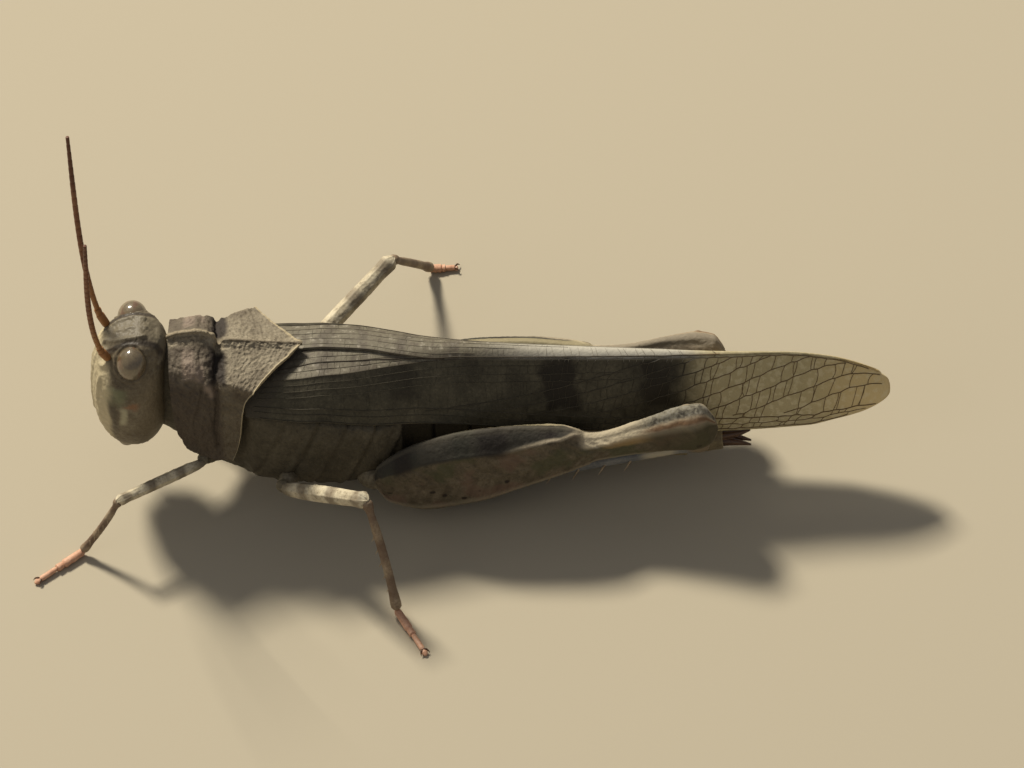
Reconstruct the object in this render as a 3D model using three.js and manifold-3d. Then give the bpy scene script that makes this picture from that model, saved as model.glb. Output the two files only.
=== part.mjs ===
// A female blue-winged grasshopper (Oedipoda caerulescens), life size, standing at rest on level ground
// with its wings folded and its hind legs drawn up. Every plate and limb section is a closed body of its
// own, and neighbours keep a thin gap. Millimetres: x runs back from the face, y to the animal's right,
// z up from the ground. The last lines move the origin to the bottom centre of the whole animal.

import * as THREE from 'three';
import { mergeVertices } from 'three/addons/utils/BufferGeometryUtils.js';
import Module from 'manifold-3d';

const wasm = await Module();
wasm.setup();

// ---- Driving dimensions ----

const GAP = 0.1; // clearance between neighbouring plates

const HEAD_TOP = 8.15;
const HEAD_CHIN = 3.0;

const EYE = { x: 1.56, y: 1.1, z: 7.32, long: 1.15, deep: 1.2, tall: 1.62, lean: 14, rake: 10 };
const ANTENNA = {
  thick: 0.5,
  roots: { left: [0.86, -0.72, 7.05], right: [0.76, 0.66, 7.4] },
  tips: { left: [0.36, -1.95, 15.05], right: [-0.28, 2.25, 16.2] },
};

const SULCUS = 4.9; // the one deep groove that crosses the pronotum
const PRONOTUM_TIP = 7.8;
const THORAX_START = 3.45;
const THORAX_END = 11.0;
const ABDOMEN_END = 22.9;
const ABDOMEN_SEGMENTS = 9;

const WING_TIP = 29.05;
const WING_THICK = 0.5;
const WING_SPREAD = { left: 0.85, right: 1.15 }; // the right wing lies over the left, so its back field is wider

// The joints of each leg: trochanter, knee, ankle and tip of the foot.
const LEGS = {
  front_left: { coxa: [4.65, -1.45, 2.0], hip: [4.05, -1.95, 2.65], knee: [0.95, -3.8, 2.85], ankle: [-0.5, -3.95, 0.5], toe: [-2.2, -5.3] },
  front_right: { coxa: [4.65, 1.45, 2.0], hip: [4.15, 2.0, 2.6], knee: [2.45, 3.65, 3.0], ankle: [1.15, 3.9, 0.5], toe: [0.75, 5.3] },
  middle_left: { coxa: [7.35, -1.9, 1.6], hip: [7.0, -2.8, 2.15], knee: [10.05, -5.5, 4.6], ankle: [11.0, -7.1, 0.5], toe: [12.05, -9.1] },
  middle_right: { coxa: [7.35, 1.9, 1.6], hip: [7.25, 2.85, 2.3], knee: [10.85, 6.4, 4.0], ankle: [12.05, 9.15, 0.5], toe: [13.05, 9.2] },
  hind_left: { coxa: [9.9, -1.7, 1.8], hip: [10.25, -2.45, 2.1], knee: [22.4, -2.1, 4.25], ankle: [11.35, -1.72, 0.5], toe: [14.0, -1.6] },
  hind_right: { coxa: [9.9, 1.7, 1.8], hip: [10.5, 2.45, 1.95], knee: [22.65, 2.1, 3.3], ankle: [11.5, 1.72, 0.5], toe: [14.15, 1.6] },
};
const SOLE = 0.0; // the height of every foot's flat
const FOOT = { half: 0.27, lift: 0.22 }; // half width of a foot, and the height of its middle

// ---- Reading sizes along a piece ----

const TAU = 2 * Math.PI;
const { lerp, clamp, degToRad } = THREE.MathUtils;
const vector = (list) => new THREE.Vector3(...list);

// A smooth curve through [place, value] pairs that never overshoots them, read as a function of place.
function along(...pairs) {
  const steps = pairs.slice(1).map(([p, v], i) => (v - pairs[i][1]) / (p - pairs[i][0]));
  const slopes = pairs.map((_, i) => {
    const before = steps[i - 1] ?? steps[i];
    const after = steps[i] ?? steps[i - 1];
    return before * after <= 0 ? 0 : (2 * before * after) / (before + after);
  });
  return (place) => {
    const p = clamp(place, pairs[0][0], pairs.at(-1)[0]);
    const i = clamp(pairs.findIndex(([q]) => q > p) - 1, 0, pairs.length - 2);
    const last = p >= pairs.at(-1)[0];
    const k = last ? pairs.length - 2 : i;
    const width = pairs[k + 1][0] - pairs[k][0];
    const s = (p - pairs[k][0]) / width;
    const rise = s * s * (3 - 2 * s);
    const hermite = (1 - rise) * pairs[k][1] + rise * pairs[k + 1][1];
    return hermite + width * s * (1 - s) * ((1 - s) * slopes[k] - s * slopes[k + 1]);
  };
}

// Signed power, for rounded-square sections: a squareness of 2 is an ellipse, and more is boxier.
const round = (value, squareness) => Math.sign(value) * Math.abs(value) ** (2 / squareness);

// A bump of height 1 at zero that fades out over `spread`.
const bump = (distance, spread) => Math.exp(-((distance / spread) ** 2));

// ---- Closed bodies ----

function volume(geometry) {
  const position = geometry.getAttribute('position');
  const corner = [new THREE.Vector3(), new THREE.Vector3(), new THREE.Vector3()];
  let total = 0;
  for (let i = 0; i < geometry.index.count; i += 3) {
    corner.forEach((c, j) => c.fromBufferAttribute(position, geometry.index.getX(i + j)));
    total += corner[0].dot(corner[1].clone().cross(corner[2])) / 6;
  }
  return total;
}

// Merges shared points and makes sure that the faces point outwards.
function weld(geometry) {
  geometry.deleteAttribute('normal');
  geometry.deleteAttribute('uv');
  const welded = mergeVertices(geometry, 1e-5);
  if (volume(welded) < 0) welded.index.array.reverse();
  return welded;
}

// A body through `rings` rings of `sides` points: place(t, a) is the point a turn `a` round ring `t`.
function loft(rings, sides, place) {
  const tube = new THREE.CylinderGeometry(1, 1, 1, sides, rings - 1);
  const position = tube.getAttribute('position');
  for (let i = 0; i < position.count; i++) {
    const t = Math.round((0.5 - position.getY(i)) * (rings - 1)) / (rings - 1);
    const onAxis = Math.hypot(position.getX(i), position.getZ(i)) < 0.5;
    const step = Math.round((Math.atan2(position.getX(i), position.getZ(i)) / TAU) * sides);
    const point = new THREE.Vector3();
    if (onAxis) {
      for (let k = 0; k < sides; k++) point.addScaledVector(place(t, k / sides), 1 / sides);
    } else {
      point.copy(place(t, ((step + sides) % sides) / sides));
    }
    position.setXYZ(i, point.x, point.y, point.z);
  }
  return weld(tube);
}

function toSolid(geometry) {
  const vertProperties = new Float32Array(geometry.getAttribute('position').array);
  const triVerts = new Uint32Array(geometry.index.array);
  return new wasm.Manifold(new wasm.Mesh({ numProp: 3, vertProperties, triVerts }));
}

function toGeometry(solid) {
  const mesh = solid.getMesh();
  const geometry = new THREE.BufferGeometry();
  geometry.setAttribute('position', new THREE.BufferAttribute(new Float32Array(mesh.vertProperties), 3));
  geometry.setIndex(new THREE.BufferAttribute(new Uint32Array(mesh.triVerts), 1));
  return geometry;
}

// Takes the tools away from a body and keeps the largest piece that is left.
function cut(geometry, ...tools) {
  const rest = tools.reduce((solid, tool) => solid.subtract(toSolid(tool)), toSolid(geometry));
  const pieces = rest.decompose().sort((a, b) => b.volume() - a.volume());
  return toGeometry(pieces[0]);
}

const join = (...geometries) => toGeometry(geometries.map(toSolid).reduce((all, next) => all.add(next)));

// A straight limb section. half(t) gives its half width and its height above and below the axis.
function limb({ from, to, rings = 6, sides = 7, up = [0, 0, 1], half, floor = -Infinity }, grow = 0) {
  const start = vector(from);
  const end = vector(to);
  const axis = end.clone().sub(start).normalize();
  const side = vector(up).cross(axis).normalize();
  const rise = axis.clone().cross(side);
  start.addScaledVector(axis, -grow);
  end.addScaledVector(axis, grow);
  return loft(rings, sides, (t, a) => {
    const [width, above, below] = half(t);
    const across = (width + grow) * Math.cos(TAU * a);
    const height = Math.sin(TAU * a) * ((Math.sin(TAU * a) > 0 ? above : below) + grow);
    const point = start.clone().lerp(end, t).addScaledVector(side, across).addScaledVector(rise, height);
    point.z = Math.max(point.z, floor);
    return point;
  });
}

const blend = (a, b, t) => vector(a).lerp(vector(b), t).toArray();
const rounded = (t, ends) => Math.min(1, Math.sqrt(clamp(Math.min(t, 1 - t) / ends, 0.12, 1)));

// ---- Head ----

const faceLine = along([3.0, 0.82], [3.4, 0.38], [4.2, 0.1], [5.1, 0.06], [6.2, 0.14], [7.0, 0.35], [7.5, 0.62], [7.9, 1.08], [8.15, 1.7]);
const napeLine = along([3.0, 2.1], [3.4, 2.6], [4.4, 2.86], [6.0, 2.9], [7.2, 2.88], [7.8, 2.7], [8.15, 2.1]);
const headHalfWidth = along([3.0, 0.95], [3.4, 1.42], [4.2, 1.74], [5.2, 1.86], [6.2, 1.76], [6.9, 1.5], [7.5, 1.2], [7.9, 0.95], [8.15, 0.4]);

function headCapsule(grow = 0) {
  return loft(13, 18, (t, a) => {
    const z = lerp(HEAD_TOP, HEAD_CHIN, 0.5 - 0.5 * Math.cos(Math.PI * lerp(0.05, 0.95, t)));
    const half = (napeLine(z) - faceLine(z)) / 2 + grow;
    const middle = (napeLine(z) + faceLine(z)) / 2;
    const y = (headHalfWidth(z) + grow) * round(Math.sin(TAU * a), 2.3);
    const ridge = Math.cos(TAU * a) > 0 ? 0.1 * bump(y, 0.35) * bump(z - 5.9, 1.6) : 0;
    return new THREE.Vector3(middle - half * round(Math.cos(TAU * a), 2.2) - ridge, y, z + grow * Math.cos(Math.PI * t));
  });
}

function eyeball(side, grow = 0) {
  const ball = new THREE.SphereGeometry(1, 12, 8);
  ball.scale(EYE.long / 2 + grow, EYE.deep / 2 + grow, EYE.tall / 2 + grow);
  ball.rotateX(side * degToRad(EYE.lean));
  ball.rotateY(degToRad(EYE.rake));
  ball.translate(EYE.x, side * EYE.y, EYE.z);
  return weld(ball);
}

// The upper lip closes the front of the mouth, and the jaws bite together behind it.
function upperLip(grow = 0) {
  return limb({
    from: [0.42, 0, 3.75], to: [0.78, 0, 2.55], rings: 5, sides: 8, up: [-1, 0, 0],
    half: (t) => [0.66 * rounded(t, 0.4), 0.26 * rounded(t, 0.4), 0.2],
  }, grow);
}

function jaw(side, grow = 0) {
  return limb({
    from: [1.25, side * 0.85, 3.6], to: [1.25, side * 0.48, 2.45], rings: 5, sides: 8, up: [-1, 0, 0],
    half: (t) => [0.42 * rounded(t, 0.4), 0.34 * rounded(t, 0.5), 0.4 * rounded(t, 0.5)],
  }, grow);
}

// Two jointed feelers on each side of the mouth, both growing from one stem.
function mouthFeelers(side) {
  const feeler = (root, tip) => limb({ from: root, to: tip, rings: 4, sides: 6, half: (t) => [0.24 * rounded(t, 0.3), 0.22 * rounded(t, 0.3), 0.22] });
  return join(
    feeler([2.08, side * 0.75, 3.3], [1.96, side * 0.74, 2.6]),
    feeler([1.96, side * 0.74, 2.72], [1.54, side * 0.6, 2.35]),
    feeler([2.02, side * 0.72, 2.9], [1.8, side * 0.38, 2.3]),
  );
}

function antenna(side) {
  const name = side < 0 ? 'left' : 'right';
  return limb({
    from: ANTENNA.roots[name], to: ANTENNA.tips[name], rings: 9, sides: 6, up: [1, 0, 0],
    half: (t) => {
      const radius = (ANTENNA.thick / 2) * rounded(t, 0.02);
      return [radius, radius, radius];
    },
  });
}

// ---- Pronotum: a saddle with a keel, its hind edge running back to a point ----

const crestLine = along([2.9, 7.5], [3.3, 7.72], [4.0, 7.83], [4.55, 7.6], [SULCUS, 7.04], [5.15, 7.28], [6.3, 7.16], [PRONOTUM_TIP, 7.08]);
const shoulderWidth = along([2.9, 1.3], [4.0, 1.35], [SULCUS, 1.42], [5.4, 1.68], [6.1, 1.95], [PRONOTUM_TIP, 1.95]);
const shoulderHeight = along([2.9, 6.95], [4.0, 7.0], [SULCUS, 6.65], [5.4, 6.72], [6.1, 6.64], [PRONOTUM_TIP, 6.62]);
const lobeWidth = along([2.9, 1.8], [4.0, 1.95], [SULCUS, 1.98], [5.6, 2.16]);
const lobeHem = along([3.1, 3.75], [3.7, 3.3], [4.8, 2.88], [5.4, 3.0], [5.7, 3.3]);
const PROFILE_STEPS = 9; // from the keel over the shoulder and down to the middle of the underside
const frontEdge = along([0, 2.98], [4, 3.0], [6, 3.12], [7, 3.45], [PROFILE_STEPS, 3.5]);
const hindEdge = along([0, PRONOTUM_TIP], [1, 7.55], [2, 6.8], [3, 6.1], [4, 5.82], [6, 5.66], [7, 5.35], [PROFILE_STEPS, 5.3]);

function pronotumSection(step, x) {
  const wide = shoulderWidth(x);
  const lobe = lobeWidth(x);
  const shoulder = shoulderHeight(x);
  const hem = lobeHem(x);
  const section = [
    [0, crestLine(x)],
    [0.14 * wide, lerp(crestLine(x), shoulder, 0.32)],
    [0.56 * wide, lerp(crestLine(x), shoulder, 0.62)],
    [wide, shoulder],
    [lerp(wide, lobe, 0.65), lerp(shoulder, hem, 0.2)],
    [lobe, lerp(shoulder, hem, 0.45)],
    [lobe * 1.02, lerp(shoulder, hem, 0.75)],
    [lobe * 0.98, hem],
    [lobe * 0.6, hem + 0.15],
    [0, hem + 0.15],
  ];
  return section[step];
}

function pronotumShell(grow = 0) {
  return loft(15, 2 * PROFILE_STEPS, (t, a) => {
    const turn = Math.round(a * 2 * PROFILE_STEPS);
    const step = Math.min(turn, 2 * PROFILE_STEPS - turn);
    const side = turn > PROFILE_STEPS ? -1 : 1;
    const x = t < 0.5 ? lerp(frontEdge(step), SULCUS, 2 * t) : lerp(SULCUS, hindEdge(step), 2 * t - 1);
    const [y, z] = pronotumSection(step, x);
    const centre = 5;
    const waist = x < SULCUS + 0.3 ? 0.1 * bump(x - SULCUS, 0.2) : 0;
    const reach = Math.hypot(y, z - centre) || 1;
    const scale = 1 + (grow - waist) / reach;
    return new THREE.Vector3(x + Math.sign(t - 0.5) * grow, side * y * scale, centre + (z - centre) * scale);
  });
}

// ---- Fore wings: horny covers that meet in a roof over the back ----

const ridgeHeight = along([5.6, 6.5], [8, 6.72], [13, 6.62], [17, 6.4], [23, 5.9], [26, 5.5], [27.6, 5.06], [28.6, 4.65], [29.05, 4.35]);
const RIDGE_OFFSET = 0.06; // half the slit between the two wings
const foldWidth = along([5.6, 1.7], [8.8, 1.5], [11.3, 0.85], [14.3, 0.62], [17, 0.5], [23, 0.3], [27.6, 0.26], [29.05, 0.3]);
const foldDrop = along([5.6, 0.1], [9, 0.2], [14, 0.28], [23, 0.4], [27.6, 0.4], [29.05, 0.1]);
const hemWidth = along([5.6, 2.1], [7.6, 2.3], [10.2, 2.1], [12, 1.85], [16, 1.45], [20, 1.2], [23.5, 0.98], [26, 0.75], [27.6, 0.62], [29.05, 0.5]);
const hemHeight = along([5.6, 5.5], [7.6, 5.35], [10.2, 4.75], [12, 4.5], [16, 3.6], [20, 3.0], [23.5, 2.68], [26, 2.55], [27.6, 2.9], [28.6, 3.45], [29.05, 3.85]);
const WING_FOLD = 0.3; // the share of the outer face that lies on the back
const WING_STEPS = 6; // points across the outer face, and as many back along the inner face

// A point of the wing's cross-section, from the ridge (0) over the fold to the hem (1), moved out by `lift`.
function wingPoint(x, q, spread, lift) {
  const face = (r) => {
    const fold = new THREE.Vector2(RIDGE_OFFSET + foldWidth(x) * spread, ridgeHeight(x) - foldDrop(x));
    if (r < WING_FOLD) {
      const s = r / WING_FOLD;
      return new THREE.Vector2(lerp(RIDGE_OFFSET, fold.x, s), lerp(ridgeHeight(x), fold.y, s * s));
    }
    const s = (r - WING_FOLD) / (1 - WING_FOLD);
    const bulge = Math.sin(Math.PI * s) * clamp((fold.y - hemHeight(x)) / 3, 0, 1);
    return new THREE.Vector2(lerp(fold.x, hemWidth(x), s) + 0.2 * bulge, lerp(fold.y, hemHeight(x), s) + 0.08 * bulge);
  };
  const here = face(q);
  const ahead = face(Math.min(q + 0.05, 1));
  const behind = face(Math.max(q - 0.05, 0));
  const normal = new THREE.Vector2(behind.y - ahead.y, ahead.x - behind.x).normalize();
  return here.addScaledVector(normal, lift);
}

// The wing starts along the pronotum's slanting hind edge.
function wingStart(q, spread) {
  const y = wingPoint(6.5, q, spread, 0).x;
  return PRONOTUM_TIP + 1.5 * GAP - Math.min(y, 1.9) * 0.88 + Math.max(0, q - 0.75) * 0.4;
}

function wingCover(side) {
  const spread = side < 0 ? WING_SPREAD.left : WING_SPREAD.right;
  return loft(20, 2 * WING_STEPS, (t, a) => {
    const turn = Math.round(a * 2 * WING_STEPS);
    const outer = turn < WING_STEPS;
    const q = (outer ? turn : 2 * WING_STEPS - 1 - turn) / (WING_STEPS - 1);
    const x = lerp(wingStart(q, spread), WING_TIP, 1 - (1 - t) ** 1.25);
    const { x: y, y: z } = wingPoint(x, q, spread, outer ? 0 : -WING_THICK);
    const highest = outer ? Infinity : ridgeHeight(x) - WING_THICK - 0.5 * q; // keeps the inner face below the fold
    return new THREE.Vector3(x, side * Math.max(y, GAP / 2 + 0.1 * q), Math.min(z, highest));
  });
}

// How far out from the middle a body can reach at height z without touching the wings round it.
function roomUnderWings(x, z) {
  if (z < hemHeight(x) - 3 * GAP) return Infinity;
  const steps = 24;
  for (let i = 0; i <= steps; i++) {
    const inner = wingPoint(x, i / steps, WING_SPREAD.left, -(WING_THICK + 4 * GAP));
    if (inner.y <= z) return Math.max(inner.x, 0.05);
  }
  return wingPoint(x, 1, WING_SPREAD.left, -(WING_THICK + 3 * GAP)).x;
}

// ---- Thorax and abdomen, tucked in under the wings ----

const thoraxHalfWidth = along([3.4, 1.2], [4.5, 1.85], [6.5, 2.35], [8.5, 2.5], [10.2, 2.35], [11, 2.0]);
const thoraxTop = along([3.4, 3.6], [5.6, 5.0], [8, 5.6], [10, 5.5], [11, 5.1]);
const thoraxBottom = along([3.4, 2.7], [4.4, 1.65], [6, 1.0], [8.5, 0.85], [10.2, 1.05], [11, 1.4]);

function tucked(x, y, z) {
  return new THREE.Vector3(x, Math.sign(y) * Math.min(Math.abs(y), roomUnderWings(x, z)), z);
}

function thoraxBox(grow = 0) {
  return loft(10, 20, (t, a) => {
    const x = lerp(THORAX_START, THORAX_END, t);
    const middle = (thoraxTop(x) + thoraxBottom(x)) / 2;
    const half = (thoraxTop(x) - thoraxBottom(x)) / 2 + grow;
    const y = (thoraxHalfWidth(x) + grow) * round(Math.cos(TAU * a), 2.6);
    return tucked(x + (2 * t - 1) * grow, y, middle + half * round(Math.sin(TAU * a), 2.4));
  });
}

const abdomenHalfWidth = along([11, 1.9], [12, 1.5], [14, 1.35], [18, 1.25], [21, 0.95], [22.3, 0.68], [22.9, 0.5]);
const abdomenHalfHeight = along([11, 1.95], [14, 1.8], [18, 1.35], [21.5, 0.85], [22.9, 0.5]);
const abdomenMiddle = along([11, 3.25], [14, 2.9], [18, 2.25], [21.5, 1.55], [22.9, 1.25]);

function abdomenRings() {
  const start = THORAX_END + GAP;
  return loft(2 * ABDOMEN_SEGMENTS + 1, 14, (t, a) => {
    const ring = Math.round(t * 2 * ABDOMEN_SEGMENTS);
    const x = lerp(start, ABDOMEN_END, t);
    const lip = ring % 2 ? 0.04 : -0.03;
    const y = (abdomenHalfWidth(x) + lip) * round(Math.cos(TAU * a), 2.2);
    return tucked(x, y, abdomenMiddle(x) + (abdomenHalfHeight(x) + lip) * round(Math.sin(TAU * a), 2.1));
  });
}

// Two pairs of short horny valves, one above the other, close the end of the abdomen.
function eggLayer() {
  const valve = (rise, tipRise) => limb({
    from: [ABDOMEN_END - 0.15, 0, 1.22 + rise], to: [ABDOMEN_END + 0.95, 0, 1.15 + tipRise], rings: 4, sides: 6,
    half: (t) => [lerp(0.42, 0.16, t), lerp(0.26, 0.12, t), lerp(0.26, 0.12, t)],
  });
  return join(valve(0.16, 0.38), valve(-0.16, -0.3));
}

// ---- Legs ----

const slimHalf = { front: [0.35, 0.26], middle: [0.38, 0.26] }; // half thickness of thigh and shin

function coxaCone(leg, thick, grow = 0) {
  const { coxa, hip } = LEGS[leg];
  return limb({ from: coxa, to: hip, rings: 4, sides: 8, half: (t) => Array(3).fill(thick * lerp(1.15, 0.8, t) * rounded(t, 0.35)) }, grow);
}

function slimThigh(leg, thick, grow = 0) {
  const { hip, knee } = LEGS[leg];
  const swell = along([0, 0.62], [0.3, 1], [0.7, 0.86], [0.9, 0.8], [1, 0.62]);
  return limb({ from: hip, to: knee, rings: 6, sides: 8, half: (t) => [0.9, 1.05, 1].map((k) => k * thick * swell(t)) }, grow);
}

function slimShin(leg, thick, grow = 0) {
  const { knee, ankle } = LEGS[leg];
  const swell = along([0, 1.1], [0.15, 0.95], [0.8, 0.95], [1, 1.1]);
  const along3 = (t) => Array(3).fill(thick * swell(t) * rounded(t, 0.06));
  return limb({ from: knee, to: ankle, rings: 6, sides: 7, up: [1, 0, 0.1], half: along3 }, grow);
}

// The thigh's outline against its length: a deep blade whose upper keel steps down past the middle.
const THIGH_STEP = 0.605;
const thighTop = along([0, 0.5], [0.05, 0.95], [0.14, 1.5], [0.28, 1.78], [0.42, 1.72], [0.55, 1.42], [THIGH_STEP, 1.16], [0.63, 0.7], [0.74, 0.78], [0.84, 1.16], [0.9, 1.24], [0.97, 1.0], [1, 0.6]);
const thighBottom = along([0, 0.55], [0.05, 1.35], [0.14, 1.94], [0.28, 1.86], [0.42, 1.36], [0.55, 0.92], [0.66, 0.58], [0.82, 0.62], [0.93, 0.85], [1, 0.5]);
const thighHalfWidth = along([0, 0.4], [0.12, 0.66], [0.3, 0.76], [0.5, 0.68], [0.66, 0.52], [0.82, 0.52], [0.94, 0.66], [1, 0.42]);

function bladeThigh(leg, grow = 0) {
  const { hip, knee } = LEGS[leg];
  return limb({
    from: hip, to: blend(hip, knee, 1.03), rings: 17, sides: 12,
    half: (t) => [thighHalfWidth(t), thighTop(t), thighBottom(t)],
  }, grow);
}

// The hind shin starts under the knee and folds forward beneath the thigh.
function foldedShin(leg, grow = 0) {
  const { hip, knee, ankle } = LEGS[leg];
  const start = blend(hip, knee, 1.005);
  start[2] -= 0.85;
  const swell = along([0, 1.25], [0.1, 1], [0.85, 0.92], [1, 1.15]);
  return limb({
    from: start, to: ankle, rings: 8, sides: 8,
    half: (t) => Array(3).fill(0.32 * swell(t) * rounded(t, 0.03)),
  }, grow);
}

// A foot lies flat on the ground: three joints on a common sole, ending in a pair of claws.
function foot(leg, grow = 0) {
  const { ankle, toe } = LEGS[leg];
  const start = vector([ankle[0], ankle[1], FOOT.lift]);
  const end = vector([toe[0], toe[1], FOOT.lift]);
  const forward = end.clone().sub(start);
  const reach = forward.length();
  forward.normalize();
  const across = new THREE.Vector3(-forward.y, forward.x, 0);
  const joints = along([0, 0.8], [0.12, 1], [0.34, 1], [0.42, 0.72], [0.5, 0.96], [0.62, 0.74], [0.75, 0.86], [1, 0.7]);
  const sole = limb({
    from: start.toArray(), to: start.clone().addScaledVector(forward, 0.84 * reach).toArray(), rings: 8, sides: 8, floor: SOLE,
    half: (t) => [FOOT.half * joints(t), lerp(0.3, 0.2, t) * joints(t), 1.6 * FOOT.lift],
  }, grow);
  const claw = (side) => {
    const root = start.clone().addScaledVector(forward, 0.8 * reach).addScaledVector(across, side * 0.08);
    const tip = end.clone().addScaledVector(across, side * 0.3);
    return limb({
      from: root.toArray(), to: tip.toArray(), rings: 3, sides: 5, floor: SOLE,
      half: (t) => Array(3).fill(lerp(0.16, 0.09, t)),
    }, grow);
  };
  return join(sole, claw(-1), claw(1));
}

// ---- The animal ----

const finishes = {
  shell: new THREE.MeshStandardMaterial({ color: 0x7d6f5a, roughness: 0.75 }),
  face: new THREE.MeshStandardMaterial({ color: 0x7a6c4c, roughness: 0.6 }),
  eye: new THREE.MeshStandardMaterial({ color: 0x6a5f49, roughness: 0.2 }),
  feeler: new THREE.MeshStandardMaterial({ color: 0x6b3020, roughness: 0.55 }),
  wing: new THREE.MeshStandardMaterial({ color: 0x736552, roughness: 0.6 }),
  belly: new THREE.MeshStandardMaterial({ color: 0x8a7a55, roughness: 0.6 }),
  leg: new THREE.MeshStandardMaterial({ color: 0x8d7c63, roughness: 0.65 }),
  shin: new THREE.MeshStandardMaterial({ color: 0x6d6f72, roughness: 0.55 }),
  foot: new THREE.MeshStandardMaterial({ color: 0x9a6650, roughness: 0.55 }),
};

const animal = new THREE.Group();

function add(name, geometry, finish) {
  const mesh = new THREE.Mesh(geometry, finishes[finish].clone());
  mesh.name = name;
  animal.add(mesh);
}

const SIDES = { left: -1, right: 1 };
const bothSides = (make) => Object.values(SIDES).map(make);

add('head', cut(headCapsule(), ...bothSides((s) => eyeball(s, GAP))), 'face');
add('labrum', cut(upperLip(), headCapsule(GAP)), 'face');
add('pronotum', pronotumShell(), 'shell');
add('thorax', cut(thoraxBox(), pronotumShell(GAP)), 'shell');
add('abdomen', abdomenRings(), 'belly');
add('ovipositor', cut(eggLayer(), abdomenRings()), 'belly');

for (const [name, side] of Object.entries(SIDES)) {
  add(`mandible_${name}`, cut(jaw(side), headCapsule(GAP), upperLip(GAP)), 'face');
  add(`palps_${name}`, cut(mouthFeelers(side), headCapsule(GAP), jaw(side, GAP)), 'foot');
  add(`eye_${name}`, eyeball(side), 'eye');
  add(`antenna_${name}`, cut(antenna(side), headCapsule(GAP), eyeball(side, GAP)), 'feeler');
  add(`tegmen_${name}`, wingCover(side), 'wing');
  for (const pair of ['front', 'middle']) {
    const leg = `${pair}_${name}`;
    const [thigh, shin] = slimHalf[pair];
    add(`coxa_${leg}`, cut(coxaCone(leg, 0.5), thoraxBox(GAP), pronotumShell(GAP)), 'shell');
    add(`femur_${leg}`, cut(slimThigh(leg, thigh), coxaCone(leg, 0.5, GAP), thoraxBox(GAP), pronotumShell(GAP)), 'leg');
    add(`tibia_${leg}`, cut(slimShin(leg, shin), slimThigh(leg, thigh, GAP)), 'leg');
    add(`tarsus_${leg}`, cut(foot(leg), slimShin(leg, shin, GAP)), 'foot');
  }
  const leg = `hind_${name}`;
  add(`coxa_${leg}`, cut(coxaCone(leg, 0.62), thoraxBox(GAP)), 'shell');
  add(`femur_${leg}`, cut(bladeThigh(leg), coxaCone(leg, 0.62, GAP)), 'leg');
  add(`tibia_${leg}`, cut(foldedShin(leg), bladeThigh(leg, GAP)), 'shin');
  add(`tarsus_${leg}`, cut(foot(leg), foldedShin(leg, GAP), bladeThigh(leg, GAP)), 'foot');
}

const box = new THREE.Box3().setFromObject(animal);
const centre = box.getCenter(new THREE.Vector3());
animal.position.set(-centre.x, -centre.y, -box.min.z);

export default animal;
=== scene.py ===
# %% [markdown]
# # A blue-winged grasshopper, life size
# This lesson finishes a grasshopper whose solid parts are already made and placed. A grasshopper is a set
# of horny plates: a box-like head, a saddle over the neck, a roof of two leathery fore wings, and six legs
# made of tubes. Each plate is rebuilt here as a fine mesh inside its solid, and then coloured with
# patterns worked out by rules.

import bpy
import numpy as np
from mathutils import Matrix, Vector, noise


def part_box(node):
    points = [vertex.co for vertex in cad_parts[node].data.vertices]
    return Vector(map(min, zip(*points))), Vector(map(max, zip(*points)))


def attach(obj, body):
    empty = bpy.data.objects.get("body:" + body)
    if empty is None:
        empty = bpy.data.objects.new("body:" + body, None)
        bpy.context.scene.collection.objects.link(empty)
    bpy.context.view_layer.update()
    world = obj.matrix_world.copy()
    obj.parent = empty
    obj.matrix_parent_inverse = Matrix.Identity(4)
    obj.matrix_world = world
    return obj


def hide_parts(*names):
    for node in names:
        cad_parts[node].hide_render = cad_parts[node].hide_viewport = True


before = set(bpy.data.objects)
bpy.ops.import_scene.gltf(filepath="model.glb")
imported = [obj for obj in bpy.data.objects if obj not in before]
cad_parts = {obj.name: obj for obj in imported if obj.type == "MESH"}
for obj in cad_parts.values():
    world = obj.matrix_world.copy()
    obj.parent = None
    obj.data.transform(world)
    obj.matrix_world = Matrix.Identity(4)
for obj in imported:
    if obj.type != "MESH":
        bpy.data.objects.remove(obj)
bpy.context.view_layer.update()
print("solids:", len(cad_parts))

# %% [markdown]
# ## A ruler for the animal
# Everything below is worked out in millimetres from the animal's own face: x runs back along the body,
# y to its right and z up from the ground. The frame says where the face and the middle line are, so one
# small function turns these millimetres into the frame's metres.

# %% Millimetres from the face
MM = 0.001
FACE_TO_BOX = 0.02  # the solid head's foremost point lies this far ahead of zero

head_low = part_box("head")[0]
middle_y = (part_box("eye_left")[0].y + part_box("eye_right")[1].y) / 2
ZERO = np.array([head_low.x + FACE_TO_BOX * MM, middle_y, 0.0])


def from_frame(points):
    return (np.asarray(points, float) - ZERO) / MM


def to_frame(points):
    return np.asarray(points, float) * MM + ZERO


body_length = from_frame(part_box("tegmen_left")[1])[0]
print("face to wing tips:", round(body_length, 2), "mm")

# %% [markdown]
# ## Shapes that follow a rule
# A leg, a head and an abdomen are all tubes whose width and height change along them. So the main tool is
# a loft: a rule says where the point is that lies a share `t` along the piece and a turn `a` round it.
# A plate, such as the saddle or a wing, is a sheet: a rule gives its outer face, and a second face lies
# a little way inside it. Relief then moves the points in or out, for keels, seams, pits and grains.

# %% Reading sizes along a piece
TAU = 2 * np.pi


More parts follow.
